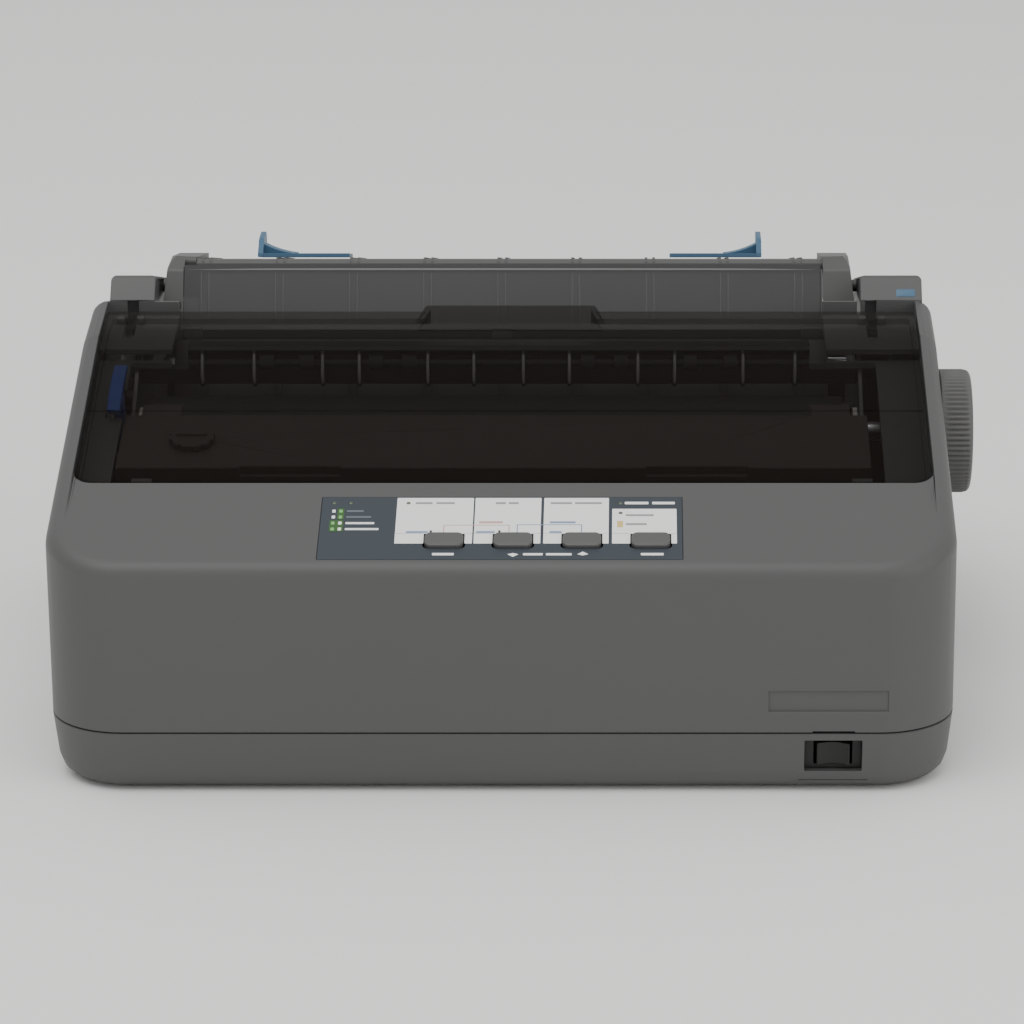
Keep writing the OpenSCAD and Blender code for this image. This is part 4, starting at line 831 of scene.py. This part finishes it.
def bead(name, path, side, out, half, proud, body, slot, paint):
    # a half-round line laid on a surface: an ellipse, half wide and proud high, carried along the path and
    # sunk by a third of its height; both ends are drawn in to a point
    turn = np.linspace(0, 2 * math.pi, 12, endpoint=False)
    swell = np.round(np.sin(np.linspace(0, math.pi, len(path))), 9) ** 0.15
    across = half * np.cos(turn)[None, :] * swell[:, None]
    lift = proud * np.maximum(np.sin(turn), -0.33)[None, :] * swell[:, None]
    points = path[:, None, :] + across[..., None] * np.asarray(side) + lift[..., None] * np.asarray(out)
    return repaint(gridPiece(name, points, body, slot), paint)


def sheetLine(x, t):  # the sheet's front face at x, t millimetres up the slope from its lower edge
    (y0, z0), (y1, z1) = guideSheet["low"], guideSheet["top"]
    length = math.hypot(y1 - y0, z1 - z0)
    x, t = np.broadcast_arrays(np.asarray(x, float), np.asarray(t, float))
    return np.stack([x, y0 + (y1 - y0) * t / length, z0 + (z1 - z0) * t / length], axis=-1)


rightwards = (1, 0, 0)
upSheet = sheetLine(0, 1) - sheetLine(0, 0)
sheetOut = np.array([0.0, -upSheet[2], upSheet[1]])
sheetBody = nodes["paper_window"]["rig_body"]
climb = np.linspace(guideSheet["ribFrom"], guideSheet["ribTo"], 9)
ribLines = [bead(f"rib_line_{i}", sheetLine(x, climb), rightwards, sheetOut, guideSheet["ribHalf"],
                 guideSheet["ribProud"], sheetBody, "window_smoke", "rib_grey")
            for i, x in enumerate(guideSheet["ribs"])]
inset = guideSheet["creaseInset"]
along = np.linspace(guideSheet["ends"][0] + inset, guideSheet["ends"][1] - inset, 9)
# a pale bead near the sheet's top edge: a painted highlight along the crease
bead("crease_highlight_line", sheetLine(along, guideSheet["creaseAt"]), upSheet, sheetOut, guideSheet["creaseHalf"],
     guideSheet["creaseProud"], sheetBody, "window_smoke", "crease_highlight_paint")
joinPieces("rib_lines", ribLines)


def sideLip(side, x0, x1, top):
    # a strip beside the sheet's end, a rounded box in section, closed at both ends
    foot, half, middle = guideSheet["lipFoot"], guideSheet["lipThick"] / 2, (x0 + x1) / 2
    turn = np.linspace(0, 2 * math.pi, 16, endpoint=False)
    corner = np.stack([np.sign(wave) * np.abs(wave) ** 0.35 for wave in (np.cos(turn), np.sin(turn))])
    reach = corner[0] * (x1 - x0) / 2
    depth = corner[1] * half - half - foot
    loops = []
    for t, size in [(foot, 0.0), (foot, 1.0), (top / 2, 1.0), (top, 1.0), (top, 0.0)]:
        ring = sheetLine(middle + reach * size, t)
        loops.append(ring + (depth * size - (1 - size) * half)[:, None] * sheetOut)
    return repaint(gridPiece("lip_" + side, np.stack(loops), sheetBody, "window_smoke"), "guide_grey")


joinPieces("sheet_lips", [sideLip(*lip) for lip in guideSheet["lips"]])

front = np.array(tensionRibHighlights["front"])
lean = np.gradient(front, axis=0)
lean = lean / np.linalg.norm(lean, axis=1, keepdims=True)
ribOut = np.stack([np.zeros(len(front)), lean[:, 1], -lean[:, 0]], axis=-1)[:, None, :]
ribPlaces = [tensionRibHighlights["middle"] + side * offset for side in (-1, 1) for offset in tensionRibHighlights["offsets"]]
tensionBody = nodes["tension_unit"]["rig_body"]
# pale beads laid on the tension unit's ribs: a painted highlight along their rounded edges
joinPieces("painted_rib_highlights", [
    bead(f"rib_highlight_strip_{i}", np.column_stack([np.full(len(front), x), front]), rightwards, ribOut,
         tensionRibHighlights["half"], tensionRibHighlights["proud"], tensionBody, "black_plastic", "rib_highlight_paint")
    for i, x in enumerate(ribPlaces)])
print("ribs made")


# floor

half = studio["floorHalf"]
floorCorners = [(-half, -half, 0), (half, -half, 0), (half, half, 0), (-half, half, 0)]
floorMesh = bpy.data.meshes.new("floor")
floorMesh.from_pydata(floorCorners, [], [(0, 1, 2, 3)])
floor = bpy.data.objects.new("floor", floorMesh)
floorMesh.materials.append(Finish("floor_paint", studio["floor"], Roughness=studio["floorRough"]).material)
bpy.context.scene.collection.objects.link(floor)

print("done")
